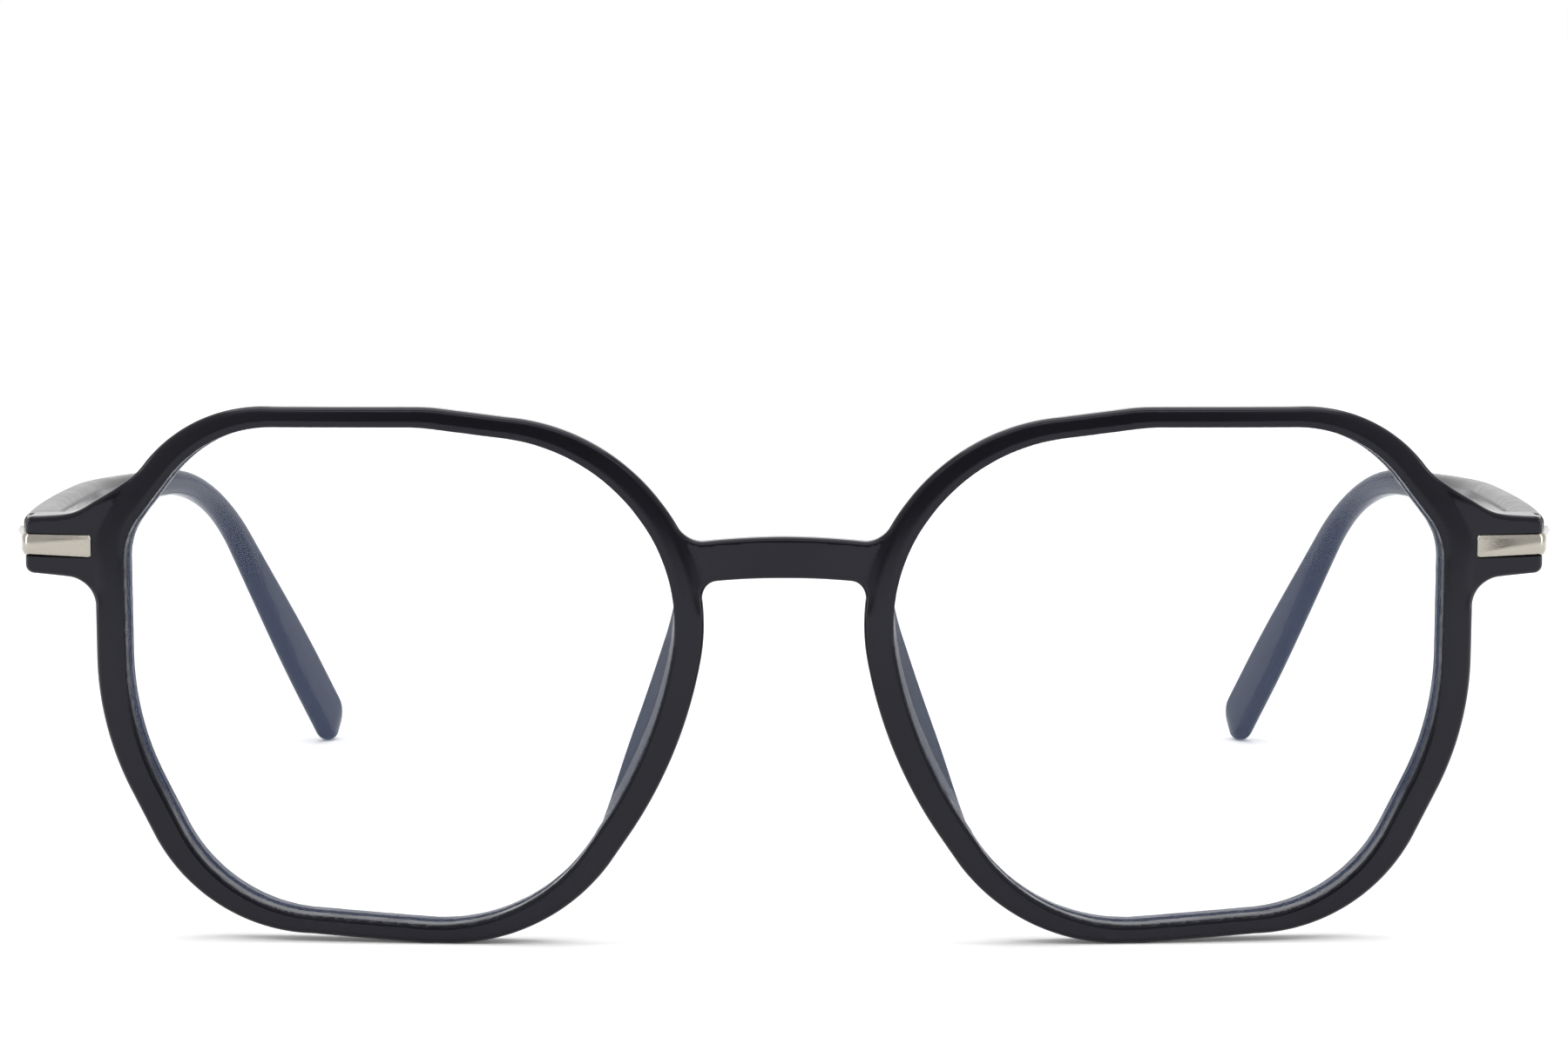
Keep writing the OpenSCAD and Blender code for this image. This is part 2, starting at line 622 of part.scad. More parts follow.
module lens_left() { lens(); }
module lens_right() { other_side() lens(); }
module end_bracket_left() { end_bracket(); }
module end_bracket_right() { other_side() end_bracket(); }
module bracket_screws_left() { bracket_screws(); }
module bracket_screws_right() { other_side() bracket_screws(); }
module hinge_screw_left() { hinge_screw(); }
module hinge_screw_right() { other_side() hinge_screw(); }
module hinge_washers_left() { hinge_washers(); }
module hinge_washers_right() { other_side() hinge_washers(); }
module temple_hinge_left() { temple_hinge(); }
module temple_hinge_right() { other_side() temple_hinge(); }
module temple_core_left() { temple_core(); }
module temple_core_right() { other_side() temple_core(); }
module temple_left() { temple(); }
module temple_right() { other_side() temple(); }

front_frame();
lens_left();
lens_right();
end_bracket_left();
end_bracket_right();
bracket_screws_left();
bracket_screws_right();
hinge_screw_left();
hinge_screw_right();
hinge_washers_left();
hinge_washers_right();
temple_hinge_left();
temple_hinge_right();
temple_core_left();
temple_core_right();
temple_left();
temple_right();
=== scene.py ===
# Looks of the geometric eyeglasses. Lengths here are in millimetres, in the same
# frames as the part's source, and each mesh is turned to the row frame in metres.
import json
import math

import bmesh
import bpy
import numpy as np
from mathutils import Matrix, Vector


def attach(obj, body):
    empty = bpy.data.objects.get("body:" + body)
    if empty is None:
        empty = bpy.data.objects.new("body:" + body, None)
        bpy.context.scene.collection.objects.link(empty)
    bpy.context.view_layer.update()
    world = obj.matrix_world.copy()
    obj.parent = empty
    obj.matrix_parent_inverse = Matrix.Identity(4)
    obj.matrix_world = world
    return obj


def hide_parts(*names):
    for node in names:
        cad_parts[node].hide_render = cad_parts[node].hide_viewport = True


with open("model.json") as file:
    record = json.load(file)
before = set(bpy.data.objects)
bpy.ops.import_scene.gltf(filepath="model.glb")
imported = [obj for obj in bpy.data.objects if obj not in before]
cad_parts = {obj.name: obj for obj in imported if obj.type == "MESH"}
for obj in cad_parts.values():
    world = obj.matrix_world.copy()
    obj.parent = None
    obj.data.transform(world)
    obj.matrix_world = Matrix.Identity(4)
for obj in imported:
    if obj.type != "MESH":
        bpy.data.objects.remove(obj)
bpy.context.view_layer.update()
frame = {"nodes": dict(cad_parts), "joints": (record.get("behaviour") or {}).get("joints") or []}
nodes = frame["nodes"]
MM = 0.001


def sind(a):
    return math.sin(math.radians(a))


def cosd(a):
    return math.cos(math.radians(a))


# Sizes of the part, as in its source
LENS_W, LENS_H, NOSE_GAP, CURVE_R, WRAP = 51.2, 46.4, 19.8, 180.0, 5.5
LENS_T, LENS_SET, BEVEL_T, BEVEL_REACH = 2.0, 1.1, 0.7, 0.55
RIM_SIDE, RIM_TOP, RIM_BOTTOM, RIM_NOSE = 2.6, 1.7, 1.6, 2.6
RIM_DEPTH, RIM_LIP = 4.0, 0.35
BRIDGE_H, BRIDGE_Z, BRIDGE_ARCH, BRIDGE_BACK = 3.9, 10.9, 0.5, 0.4
PAD_REACH, PAD_SPLAY, PAD_R, PAD_TOP, PAD_LOW = 6.5, 2.7, 0.8, 7.5, 16.0
END_REACH, END_H, END_Z, END_DEPTH = 9.1, 4.5, 11.3, 5.8
STRIP_H, STRIP_T, STRIP_FRONT, STRIP_SIDE = 2.1, 1.2, 6.7, 10.1
STRIP_FLARE, STRIP_PROUD = 9.0, 0.2
FIX_R, FIX_HEAD_R, FIX_FIRST, FIX_PITCH = 0.5, 0.95, 1.5, 2.9
BARREL_R, PIVOT_BACK, BARREL_SINK = 1.45, 1.0, 0.35
MID_H, LEAF_T, LEAF_H, LEAF_IN, LEAF_LEN = 1.2, 0.9, 2.6, 0.15, 10.0
TEMPLE_LEN, ROOT_STEP, ROOT_H, ROOT_T = 144.0, 0.5, 4.3, 3.0
BEND_H, BEND_T, TIP_H, TIP_T, BEND_AT, BEND_R = 2.7, 2.6, 5.6, 2.1, 84.0, 34.0
TIP_SWELL_LEN, TIP_FULL_LEN = 46.0, 10.0
BOW_OUT, BOW_LEN, TURN_IN, TURN_AT, TURN_LEN = 4.4, 44.0, 17.5, 53.0, 26.0
FRONT_LEAN, PANTO, SEAT_GAP, STOP_GAP, BURY = 1.5, 3.4, 0.05, 0.15, 0.2
GROOVE_PLAY, BEND_INSIDE, SWEEP_PLAY, FIX_BED, LEAF_CLEAR = 0.15, 0.15, 0.15, 2.0, 0.1
SWEEP_R = BARREL_R + SWEEP_PLAY

# Corners of a lens opening: two places and a radius, as shares of half its width and height
LENS_CORNERS = [
    (1.00, 0.53, 0.28), (0.69, 0.98, 0.54), (-0.08, 0.99, 0.86), (-0.68, 0.91, 0.78),
    (-1.04, 0.39, 0.71), (-0.93, -0.29, 1.77), (-0.47, -1.04, 0.73), (0.65, -0.96, 0.64),
    (0.99, -0.22, 1.14)]

LENS_X = (NOSE_GAP + LENS_W) / 2
CURVE_X = LENS_X - CURVE_R * sind(WRAP)
CURVE_Y = math.sqrt(CURVE_R ** 2 - CURVE_X ** 2)
GROOVE_FRONT = LENS_SET + (LENS_T - BEVEL_T) / 2 - GROOVE_PLAY
GROOVE_BACK = GROOVE_FRONT + BEVEL_T + 2 * GROOVE_PLAY
GROOVE_DEPTH = BEVEL_REACH - RIM_LIP + GROOVE_PLAY
BRIDGE_X = NOSE_GAP / 2 - RIM_NOSE / 2


def face_y(x, z):
    return CURVE_Y - np.sqrt(CURVE_R ** 2 - (x - CURVE_X) ** 2 - z * z)


BRIDGE_FACE = float(face_y(BRIDGE_X, BRIDGE_Z))
END_X = LENS_X + LENS_W / 2 + END_REACH
CORNER_X = END_X + STRIP_PROUD
CORNER = np.array([CORNER_X, float(face_y(CORNER_X, END_Z))])
STRIP_TILT = math.degrees(math.asin((END_X - STRIP_FRONT / 2 - CURVE_X) / CURVE_R))
STRIP_TURN = 90 - STRIP_FLARE - STRIP_TILT
STRIP_R = STRIP_T + BEND_INSIDE
SETBACK = STRIP_R * math.tan(math.radians(STRIP_TURN / 2))


def heading_of(a):
    return np.array([cosd(a), sind(a)])


PIVOT_IN = STRIP_T + BARREL_R - BARREL_SINK
PIVOT_ALONG = STRIP_SIDE - SETBACK - PIVOT_BACK
BEND_CENTRE = CORNER - SETBACK * heading_of(STRIP_TILT) + STRIP_R * heading_of(STRIP_TILT + 90)
HINGE_XY = (BEND_CENTRE + PIVOT_ALONG * heading_of(90 - STRIP_FLARE)
            + (PIVOT_IN - STRIP_R) * heading_of(180 - STRIP_FLARE))
HINGE_Z = END_Z - PIVOT_ALONG * sind(PANTO)
LEG_END = PIVOT_BACK * heading_of(90 - STRIP_FLARE) + (PIVOT_IN - STRIP_T) * heading_of(-STRIP_FLARE)
ROOT = np.array([LEG_END[0] + STRIP_T - ROOT_STEP - ROOT_T / 2, LEG_END[1] + STOP_GAP, 0.0])


# Outline of a lens opening: arcs (centre x, centre z, radius, start, sweep) and sides
def outline_parts():
    c = np.array([(a * LENS_W / 2, b * LENS_H / 2) for a, b, r in LENS_CORNERS])
    radii = [r * LENS_H / 2 for a, b, r in LENS_CORNERS]
    n = len(c)
    before = [(c[i - 1] - c[i]) / np.linalg.norm(c[i - 1] - c[i]) for i in range(n)]
    after = [(c[(i + 1) % n] - c[i]) / np.linalg.norm(c[(i + 1) % n] - c[i]) for i in range(n)]
    side = [np.linalg.norm(c[(i + 1) % n] - c[i]) for i in range(n)]
    half = [math.acos(before[i] @ after[i]) / 2 for i in range(n)]
    full = [radii[i] / math.tan(half[i]) for i in range(n)]
    arcs, sides = [], []
    for i in range(n):
        reach = full[i] * min(1, side[i] / (full[i] + full[(i + 1) % n]),
                              side[i - 1] / (full[i - 1] + full[i]))
        r = reach * math.tan(half[i])
        mid = c[i] + (before[i] + after[i]) / np.linalg.norm(before[i] + after[i]) * r / math.sin(half[i])
        start = c[i] + before[i] * reach
        arcs.append((mid[0], mid[1], r, math.atan2(start[1] - mid[1], start[0] - mid[0]),
                     math.pi - 2 * half[i]))
    for i in range(n):
        a, b = arcs[i], arcs[(i + 1) % n]
        p = np.array([a[0] + a[2] * math.cos(a[3] + a[4]), a[1] + a[2] * math.sin(a[3] + a[4])])
        q = np.array([b[0] + b[2] * math.cos(b[3]), b[1] + b[2] * math.sin(b[3])])
        length = np.linalg.norm(q - p)
        if length > 1e-6:
            sides.append((p, (q - p) / length, length))
    return arcs, sides


ARCS, SIDES = outline_parts()


def outline_field(x, z):
    """Signed distance from the outline of a lens opening, and the outward direction there."""
    best = np.full(x.shape, 1e9)
    nx, nz = np.ones(x.shape), np.zeros(x.shape)
    for cx, cz, r, start, sweep in ARCS:
        dx, dz = x - cx, z - cz
        far = np.hypot(dx, dz) + 1e-12
        turn = np.mod(np.arctan2(dz, dx) - start, 2 * math.pi)
        ok = (turn <= sweep) & (np.abs(far - r) < np.abs(best))
        best[ok] = (far - r)[ok]
        nx[ok] = (dx / far)[ok]
        nz[ok] = (dz / far)[ok]
    for p, along, length in SIDES:
        s = (x - p[0]) * along[0] + (z - p[1]) * along[1]
        d = (x - p[0]) * along[1] - (z - p[1]) * along[0]
        ok = (s >= 0) & (s <= length) & (np.abs(d) < np.abs(best))
        best[ok] = d[ok]
        nx[ok] = along[1]
        nz[ok] = -along[0]
    return best, nx, nz


def outline_points(gap):
    """Points round the outline with their outward directions, about gap apart."""
    out = []
    for i, (cx, cz, r, start, sweep) in enumerate(ARCS):
        n = max(2, int(math.ceil(r * sweep / gap)))
        for k in range(n + 1):
            a = start + sweep * k / n
            out.append((cx + r * math.cos(a), cz + r * math.sin(a), math.cos(a), math.sin(a)))
        nxt = ARCS[(i + 1) % len(ARCS)]
        p = np.array(out[-1][:2])
        q = np.array([nxt[0] + nxt[2] * math.cos(nxt[3]), nxt[1] + nxt[2] * math.sin(nxt[3])])
        far = np.linalg.norm(q - p)
        m = int(far / gap)
        for k in range(1, m):
            s = p + (q - p) * k / m
            out.append((s[0], s[1], out[-1][2], out[-1][3]))
    keep = [o for i, o in enumerate(out)
            if math.hypot(o[0] - out[i - 1][0], o[1] - out[i - 1][1]) > gap / 4]
    return np.array(keep)


# Signed fields: rounded overlap, rounded join, and an even step
def overlap(a, b, r):
    return np.minimum(-r, np.maximum(a, b)) + np.hypot(np.maximum(a + r, 0), np.maximum(b + r, 0))


def join(a, b, r):
    return np.maximum(r, np.minimum(a, b)) - np.hypot(np.maximum(r - a, 0), np.maximum(r - b, 0))


def even(v, a, b):
    t = np.clip((v - a) / (b - a), 0, 1)
    return t * t * (3 - 2 * t)


# Silhouette of an endpiece: share of its reach, low edge and high edge as shares of its height
END_SHARES = np.array([0.0, 0.27, 0.42, 0.55, 0.75, 1.0, 1.3])
END_LOW = np.array([-0.70, -0.70, -0.68, -0.65, -0.62, -0.59, -0.57])
END_HIGH = np.array([0.98, 0.84, 0.73, 0.66, 0.61, 0.575, 0.55])


def smooth_table(x, xs, ys):
    """Smooth curve through the points of a table."""
    slope = np.gradient(ys, xs)
    i = np.clip(np.searchsorted(xs, x) - 1, 0, len(xs) - 2)
    h = xs[i + 1] - xs[i]
    t = np.clip((x - xs[i]) / h, 0, 1)
    a, b = ys[i], ys[i + 1]
    return (a * (1 + 2 * t) * (1 - t) ** 2 + b * t * t * (3 - 2 * t)
            + h * (slope[i] * t * (1 - t) ** 2 - slope[i + 1] * t * t * (1 - t)))


# Roundings, chamfers and drafts of the moulded front
EDGE, CROWN = 0.5, 0.1
LIP_CHAMFER, LIP_DRAFT, LIP_EDGE, WALL_EDGE, GROOVE_EDGE = 0.26, 0.18, 0.1, 0.18, 0.1
NOSE_DRAFT, TOP_DRAFT, END_DRAFT = 0.12, 0.075, 0.05
END_CORNER, BRIDGE_FILLET, END_FILLET, END_FILLET_TOP = 0.75, 1.6, 2.4, 0.8

# Blend of the bridge's and endpieces' faces into the rims': its width and how far past each part it starts
BLEND, BRIDGE_BLEND, BRIDGE_BLEND_UP, END_BLEND_UP = 2.5, 3.0, 3.5, 4.0

# Nose pads: fillet, thinning of the edge, side of the opening that they stand on, and no pad elsewhere
PAD_FILLET, PAD_THIN, PAD_SIDE, NO_PAD = 0.6, 0.16, 0.3, 5.0

# True distance as a share of depth on a sloped face, and on a chamfer of 45 degrees
FACE_SLANT, CHAMFER_SLANT = 0.975, 0.7071

# Grid of the front's skin: its step, cells along a block, points in a batch, and the step of a slope
GRID, PER_BLOCK, BATCH, PROBE = 0.2, 6, 400000, 0.01


def opening_wall(deep):
    """Where the wall of an opening stands at a depth, with its slight draft."""
    return -RIM_LIP + LIP_DRAFT * (1 - deep / RIM_DEPTH)


def rim_place(x, y, z):
    """How far outside the opening's outline a point is, how deep behind the face, and which way is out."""
    deep = y - face_y(x, z)
    for _ in range(4):
        deep = (y - face_y(x + deep * sind(WRAP), z)) / cosd(WRAP)
    out, nx, nz = outline_field(x + deep * sind(WRAP) - LENS_X, z)
    return out, deep, nx, nz


def front_field(p):
    """Signed field of the moulded front, in the front's own frame."""
    x, y, z = np.abs(p[:, 0]), p[:, 1], p[:, 2]
    out, deep, nx, nz = rim_place(x, y, z)
    up = np.where(nz > 0, RIM_TOP, RIM_BOTTOM)
    w = up + (np.where(nx > 0, RIM_SIDE, RIM_NOSE) - up) * np.abs(nx)

    # Silhouette: the rim, the bridge and the endpiece joined with fillets
    t = np.minimum(x / BRIDGE_X, 1.4)
    behind = np.maximum(0, deep)
    bridge = np.abs(z - BRIDGE_Z + BRIDGE_ARCH * t * t) - BRIDGE_H / 2 + TOP_DRAFT * behind
    bridge = np.maximum(bridge, x - LENS_X)
    share = (x - LENS_X - LENS_W / 2) / END_REACH
    low = END_Z + END_H * smooth_table(share, END_SHARES, END_LOW)
    high = END_Z + END_H * smooth_table(share, END_SHARES, END_HIGH) - END_DRAFT * behind
    tip = overlap(overlap(z - high, x - END_X, END_CORNER), low - z, END_CORNER)
    tip = np.maximum(tip, LENS_X + LENS_W / 4 - x)
    draft = (NOSE_DRAFT * np.maximum(0, -nx) + TOP_DRAFT * np.maximum(0, nz)) * behind
    fillet = END_FILLET + END_FILLET_TOP * even(z - END_Z, -1, 1)
    shape = join(join(out - w + draft, bridge, BRIDGE_FILLET), tip, fillet)

    # Front and back faces: the rim's follow the face curve, the others blend into them
    bridge_front = BRIDGE_FACE + BURY + BRIDGE_BACK * np.maximum(0, 1 - t * t) - y
    bridge_back = y - BRIDGE_FACE - RIM_DEPTH + BURY
    end_y = face_y(x, END_Z)
    s = np.clip(share, 0, 1)
    inner = RIM_DEPTH - 1.5 * BURY
    end_front = (end_y + BURY * (1 - s) - y) * FACE_SLANT
    end_back = (y - end_y - inner - (END_DEPTH - inner) * s) * FACE_SLANT
    nose = x < LENS_X
    by_bridge = even(BRIDGE_X + BRIDGE_BLEND - x, 0, BLEND)
    by_bridge = by_bridge * even(BRIDGE_H / 2 + BRIDGE_BLEND_UP - np.abs(z - BRIDGE_Z), 0, BLEND)
    by_end = even(share, -0.15, 0.2) * even(END_H / 2 + END_BLEND_UP - np.abs(z - END_Z), 0, BLEND)
    near = even(out / w, 0.55, 1.35) * np.where(nose, by_bridge, by_end)
    crown = CROWN * np.clip(2 * out / w - 1, -1, 1) ** 4 * (1 - near)
    front = crown - deep + near * (np.where(nose, bridge_front, end_front) + deep)
    back = deep - RIM_DEPTH
    back = back + near * (np.where(nose, bridge_back, end_back) - back)
    body = overlap(overlap(shape, front, EDGE), back, EDGE)

    # Opening with its chamfers and the groove for the lens
    front_chamfer = (LIP_CHAMFER + opening_wall(0) - out - deep) * CHAMFER_SLANT
    back_chamfer = (LIP_CHAMFER - RIM_LIP - out - RIM_DEPTH + deep) * CHAMFER_SLANT
    wall = overlap(overlap(opening_wall(deep) - out, front_chamfer, LIP_EDGE), back_chamfer, LIP_EDGE)
    body = overlap(body, wall, WALL_EDGE)
    mid = (GROOVE_FRONT + GROOVE_BACK) / 2
    groove = np.maximum(np.abs(deep - mid) - (GROOVE_BACK - GROOVE_FRONT) / 2 + 0.08, out - GROOVE_DEPTH)
    body = overlap(body, -np.maximum(groove, -RIM_LIP - 1 - out), GROOVE_EDGE)

    # Nose pads: a sheet that leans back and inward from the rim, tapering at both of its ends
    zs = z - out * nz
    down = np.clip((PAD_TOP - zs) / (PAD_TOP + PAD_LOW), 0, 1)
    bulge = np.clip(np.sin(math.pi * down), 0, 1) ** (0.5 + 0.3 * even(down, 0.5, 0.9))
    bulge = bulge * even(-nx, 0.35, 0.6)
    ax, ay = w / 2 - BURY, RIM_DEPTH - PAD_R - 3 * BURY
    bx, by = ax - PAD_SPLAY * bulge, RIM_DEPTH - PAD_R - BURY + PAD_REACH * bulge
    lx, ly = bx - ax, by - ay
    along = np.clip(((out - ax) * lx + (deep - ay) * ly) / (lx * lx + ly * ly), 0, 1)
    thick = PAD_R * (1 - PAD_THIN * along * along)
    pad = np.hypot(out - ax - along * lx, deep - ay - along * ly) - thick
    pad = pad + 1.5 * (1 - even(bulge, 0.0, 0.2))
    return join(body, np.where(nx < -PAD_SIDE, pad, NO_PAD), PAD_FILLET)


def surface_net(values, low, step):
    """Quads round the zero surface of a grid of values, negative inside."""
    inside = values < 0
    n = np.array(inside.shape)
    offsets = [(i, j, k) for i in (0, 1) for j in (0, 1) for k in (0, 1)]
    count = np.zeros(n - 1, np.int8)
    for i, j, k in offsets:
        count += inside[i:n[0] - 1 + i, j:n[1] - 1 + j, k:n[2] - 1 + k]
    active = (count > 0) & (count < 8)
    cells = np.argwhere(active)
    number = np.full(active.shape, -1, np.int32)
    number[active] = np.arange(len(cells))
    total, hits = np.zeros((len(cells), 3)), np.zeros(len(cells))
    for a in offsets:
        for axis in range(3):
            if a[axis]:
                continue
            b = np.array(a)
            b[axis] += 1
            va = values[tuple((cells + a).T)].astype(float)
            vb = values[tuple((cells + b).T)].astype(float)
            cross = (va < 0) != (vb < 0)
            place = (cells + a).astype(float)
            place[cross, axis] += (va[cross] / (va[cross] - vb[cross]))
            total[cross] += place[cross]
            hits[cross] += 1
    points = low + step * total / hits[:, None]
    quads = []
    for axis in range(3):
        u, v = np.eye(3, dtype=int)[(axis + 1) % 3], np.eye(3, dtype=int)[(axis + 2) % 3]
        along = np.eye(3, dtype=int)[axis]
        a = inside[tuple(slice(0, n[i] - along[i]) for i in range(3))]
        b = inside[tuple(slice(along[i], n[i]) for i in range(3))]
        g = np.argwhere(a != b)
        g = g[((g @ u) > 0) & ((g @ v) > 0) & ((g @ u) < n @ u - 1) & ((g @ v) < n @ v - 1)]
        quad = np.stack([number[tuple((g - u - v).T)], number[tuple((g - v).T)],
                         number[tuple(g.T)], number[tuple((g - u).T)]], 1)
        flip = ~a[tuple(g.T)]
        quad[flip] = quad[flip][:, ::-1]
        quads.append(quad)
    return points, np.concatenate(quads)


def skin(field, low, high, step):
    """Points and quads of a field's surface, from blocks near it alone."""
    per = PER_BLOCK
    blocks = np.ceil((np.array(high) - low) / (step * per)).astype(int)
    low = np.array(low, float)
    centres = np.stack(np.meshgrid(*[np.arange(b) + 0.5 for b in blocks], indexing="ij"), -1).reshape(-1, 3)
    rough = field(low + centres * step * per)
    close = (np.abs(rough) < 1.35 * step * per).reshape(blocks)
    size = blocks * per + 1
    values = np.ones(size, np.float32)
    values[:-1, :-1, :-1] = np.repeat(np.repeat(np.repeat(
        np.where(rough < 0, -1.0, 1.0).astype(np.float32).reshape(blocks), per, 0), per, 1), per, 2)
    wanted = np.zeros(size, bool)
    wanted[:-1, :-1, :-1] = np.repeat(np.repeat(np.repeat(close, per, 0), per, 1), per, 2)
    for axis in range(3):
        wanted |= np.roll(wanted, 1, axis)
    spots = np.argwhere(wanted)
    for i in range(0, len(spots), BATCH):
        part = spots[i:i + BATCH]
        values[tuple(part.T)] = field(low + part * step)
    points, quads = surface_net(values, low, step)
    for _ in range(3):
        f = field(points)
        slope = np.stack([(field(points + d) - f) / PROBE for d in np.eye(3) * PROBE], 1)
        steep = np.maximum((slope ** 2).sum(1), 0.1)
        move = slope * (f / steep)[:, None]
        far = np.linalg.norm(move, axis=1)[:, None]
        points = points - move * np.minimum(1, 0.3 * step / np.maximum(far, 1e-9))
    return points, quads


# The hinge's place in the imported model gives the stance
pivot = [j for j in frame["joints"] if j["name"] == "fold_left"][0]["pos_m"]
lean_y = HINGE_XY[1] * cosd(FRONT_LEAN) - HINGE_Z * sind(FRONT_LEAN)
lean_z = HINGE_XY[1] * sind(FRONT_LEAN) + HINGE_Z * cosd(FRONT_LEAN)
MID_Y = lean_y - pivot[1] / MM
STAND_H = pivot[2] / MM - lean_z


# Frames: the front's, the left hinge's and, within the front's, the left bracket strip's, in millimetres
def front_matrix():
    return Matrix.Translation((0, -MID_Y, STAND_H)) @ Matrix.Rotation(math.radians(FRONT_LEAN), 4, "X")


def hinge_matrix():
    return (front_matrix() @ Matrix.Translation((HINGE_XY[0], HINGE_XY[1], HINGE_Z))
            @ Matrix.Rotation(math.radians(-PANTO), 4, "X"))


STRIP_MATRIX = (Matrix.Translation((CORNER[0], CORNER[1], END_Z))
                @ Matrix.Rotation(math.radians(STRIP_TILT), 4, "Z"))


def move(points, matrix):
    """Points turned and moved by a matrix."""
    m = np.array(matrix)
    return np.asarray(points, float) @ m[:3, :3].T + m[:3, 3]


def piece(name, points, faces, matrix, material, smooth=40, mirror=False):
    """A mesh piece from points in millimetres and faces, turned to the row frame."""
    points = move(points, matrix) * MM
    faces = [list(f) for f in faces] if not isinstance(faces, np.ndarray) else faces
    if mirror:
        points = points * [-1, 1, 1]
        faces = faces[:, ::-1] if isinstance(faces, np.ndarray) else [f[::-1] for f in faces]
    mesh = bpy.data.meshes.new(name)
    mesh.from_pydata(points.tolist(), [], faces.tolist() if isinstance(faces, np.ndarray) else faces)
    mesh.validate()
    obj = bpy.data.objects.new(name, mesh)
    bpy.context.scene.collection.objects.link(obj)
    if material:
        mesh.materials.append(material)
    mesh.shade_smooth()
    if smooth:
        mesh.set_sharp_from_angle(angle=math.radians(smooth))
    return obj


def carve(obj, cutters, smooth=40):
    """Cuts closed solids out of a piece and leaves crisp edges."""
    for cutter in cutters:
        change = obj.modifiers.new("cut", "BOOLEAN")
        change.operation = "DIFFERENCE"
        change.solver = "MANIFOLD"
        change.object = cutter
        bpy.context.view_layer.update()
        done = bpy.data.meshes.new_from_object(
            obj.evaluated_get(bpy.context.evaluated_depsgraph_get()))
        if len(done.polygons) == 0 or len(done.polygons) == len(obj.data.polygons):
            bpy.data.meshes.remove(done)
            change.solver = "EXACT"
            bpy.context.view_layer.update()
            done = bpy.data.meshes.new_from_object(
                obj.evaluated_get(bpy.context.evaluated_depsgraph_get()))
        obj.modifiers.clear()
        old = obj.data
        obj.data = done
        bpy.data.meshes.remove(old)
    for cutter in cutters:
        bpy.data.objects.remove(cutter)
    obj.data.shade_smooth()
    obj.data.set_sharp_from_angle(angle=math.radians(smooth))


def field_normals(obj, field, matrix):
    """Gives the faces that lie on a field's surface the field's own normals, so that gloss runs clean."""
    mesh = obj.data
    back = matrix.inverted()
    close, alike = 0.1, 0.5

    def slope(p):
        g = np.stack([field(p + d) - field(p - d) for d in np.eye(3) * PROBE], 1)
        return g / np.maximum(np.linalg.norm(g, axis=1), 1e-9)[:, None]

    co = np.zeros(len(mesh.vertices) * 3)
    mesh.vertices.foreach_get("co", co)
    spots = move(co.reshape(-1, 3) / MM, back)
    at_points = slope(spots)
    centres, flat = np.zeros(len(mesh.polygons) * 3), np.zeros(len(mesh.polygons) * 3)
    mesh.polygons.foreach_get("center", centres)
    mesh.polygons.foreach_get("normal", flat)
    centres = move(centres.reshape(-1, 3) / MM, back)
    turn = np.array(back)[:3, :3]
    flat = flat.reshape(-1, 3) @ turn.T
    on_field = (np.abs(field(centres)) < close) & ((slope(centres) * flat).sum(1) > alike)
    total, corners = np.zeros(len(mesh.polygons), int), np.zeros(len(mesh.loops), int)
    mesh.polygons.foreach_get("loop_total", total)
    mesh.loops.foreach_get("vertex_index", corners)
    of_face = np.repeat(np.arange(len(total)), total)
    normals = np.where(on_field[of_face][:, None], at_points[corners], flat[of_face])
    normals = normals @ turn
    mesh.normals_split_custom_set(normals.tolist())


def tube_faces(rings, around):
    """Faces of a loft through equal rings, its ends capped."""
    faces = []
    for i in range(rings - 1):
        for k in range(around):
            m = (k + 1) % around
            faces.append([i * around + k, i * around + m, (i + 1) * around + m, (i + 1) * around + k])
    faces.append(list(range(around))[::-1])
    faces.append([(rings - 1) * around + k for k in range(around)])
    return faces


# Materials
def new_material(name):
    material = bpy.data.materials.new(name)
    material.use_nodes = True
    tree = material.node_tree
    shader = tree.nodes["Principled BSDF"]
    place = tree.nodes.new("ShaderNodeTexCoord")
    return material, tree, shader, place


def noise_of(tree, place, scale, detail, stretch=None):
    """Noise over the part, its scale in cells to the metre."""
    source = place.outputs["Object"]
    if stretch:
        mapping = tree.nodes.new("ShaderNodeMapping")
        mapping.inputs["Scale"].default_value = stretch
        tree.links.new(source, mapping.inputs["Vector"])
        source = mapping.outputs["Vector"]
    noise = tree.nodes.new("ShaderNodeTexNoise")
    noise.inputs["Scale"].default_value = scale
    noise.inputs["Detail"].default_value = detail
    tree.links.new(source, noise.inputs["Vector"])
    return noise.outputs["Fac"]


def remap(tree, source, low, high, at_low, at_high, shape="LINEAR"):
    """A value that runs from one level to another while its source runs from low to high."""
    node = tree.nodes.new("ShaderNodeMapRange")
    node.interpolation_type = shape
    for name, value in (("From Min", low), ("From Max", high), ("To Min", at_low), ("To Max", at_high)):
        node.inputs[name].default_value = value
    tree.links.new(source, node.inputs["Value"])
    return node.outputs["Result"]


# Most of a noise's values lie between these two
NOISE_LOW, NOISE_HIGH = 0.3, 0.7


def spread(tree, source, low, high, target):
    """Drives a shader input with a noise, between two values."""
    tree.links.new(remap(tree, source, NOISE_LOW, NOISE_HIGH, low, high), target)


def tint(tree, source, dark, light, target):
    """Drives a colour input with a noise, between two colours."""
    node = tree.nodes.new("ShaderNodeValToRGB")
    ends = node.color_ramp.elements
    ends[0].position, ends[0].color = NOISE_LOW, (*dark, 1)
    ends[1].position, ends[1].color = NOISE_HIGH, (*light, 1)
    tree.links.new(source, node.inputs["Fac"])
    tree.links.new(node.outputs["Color"], target)


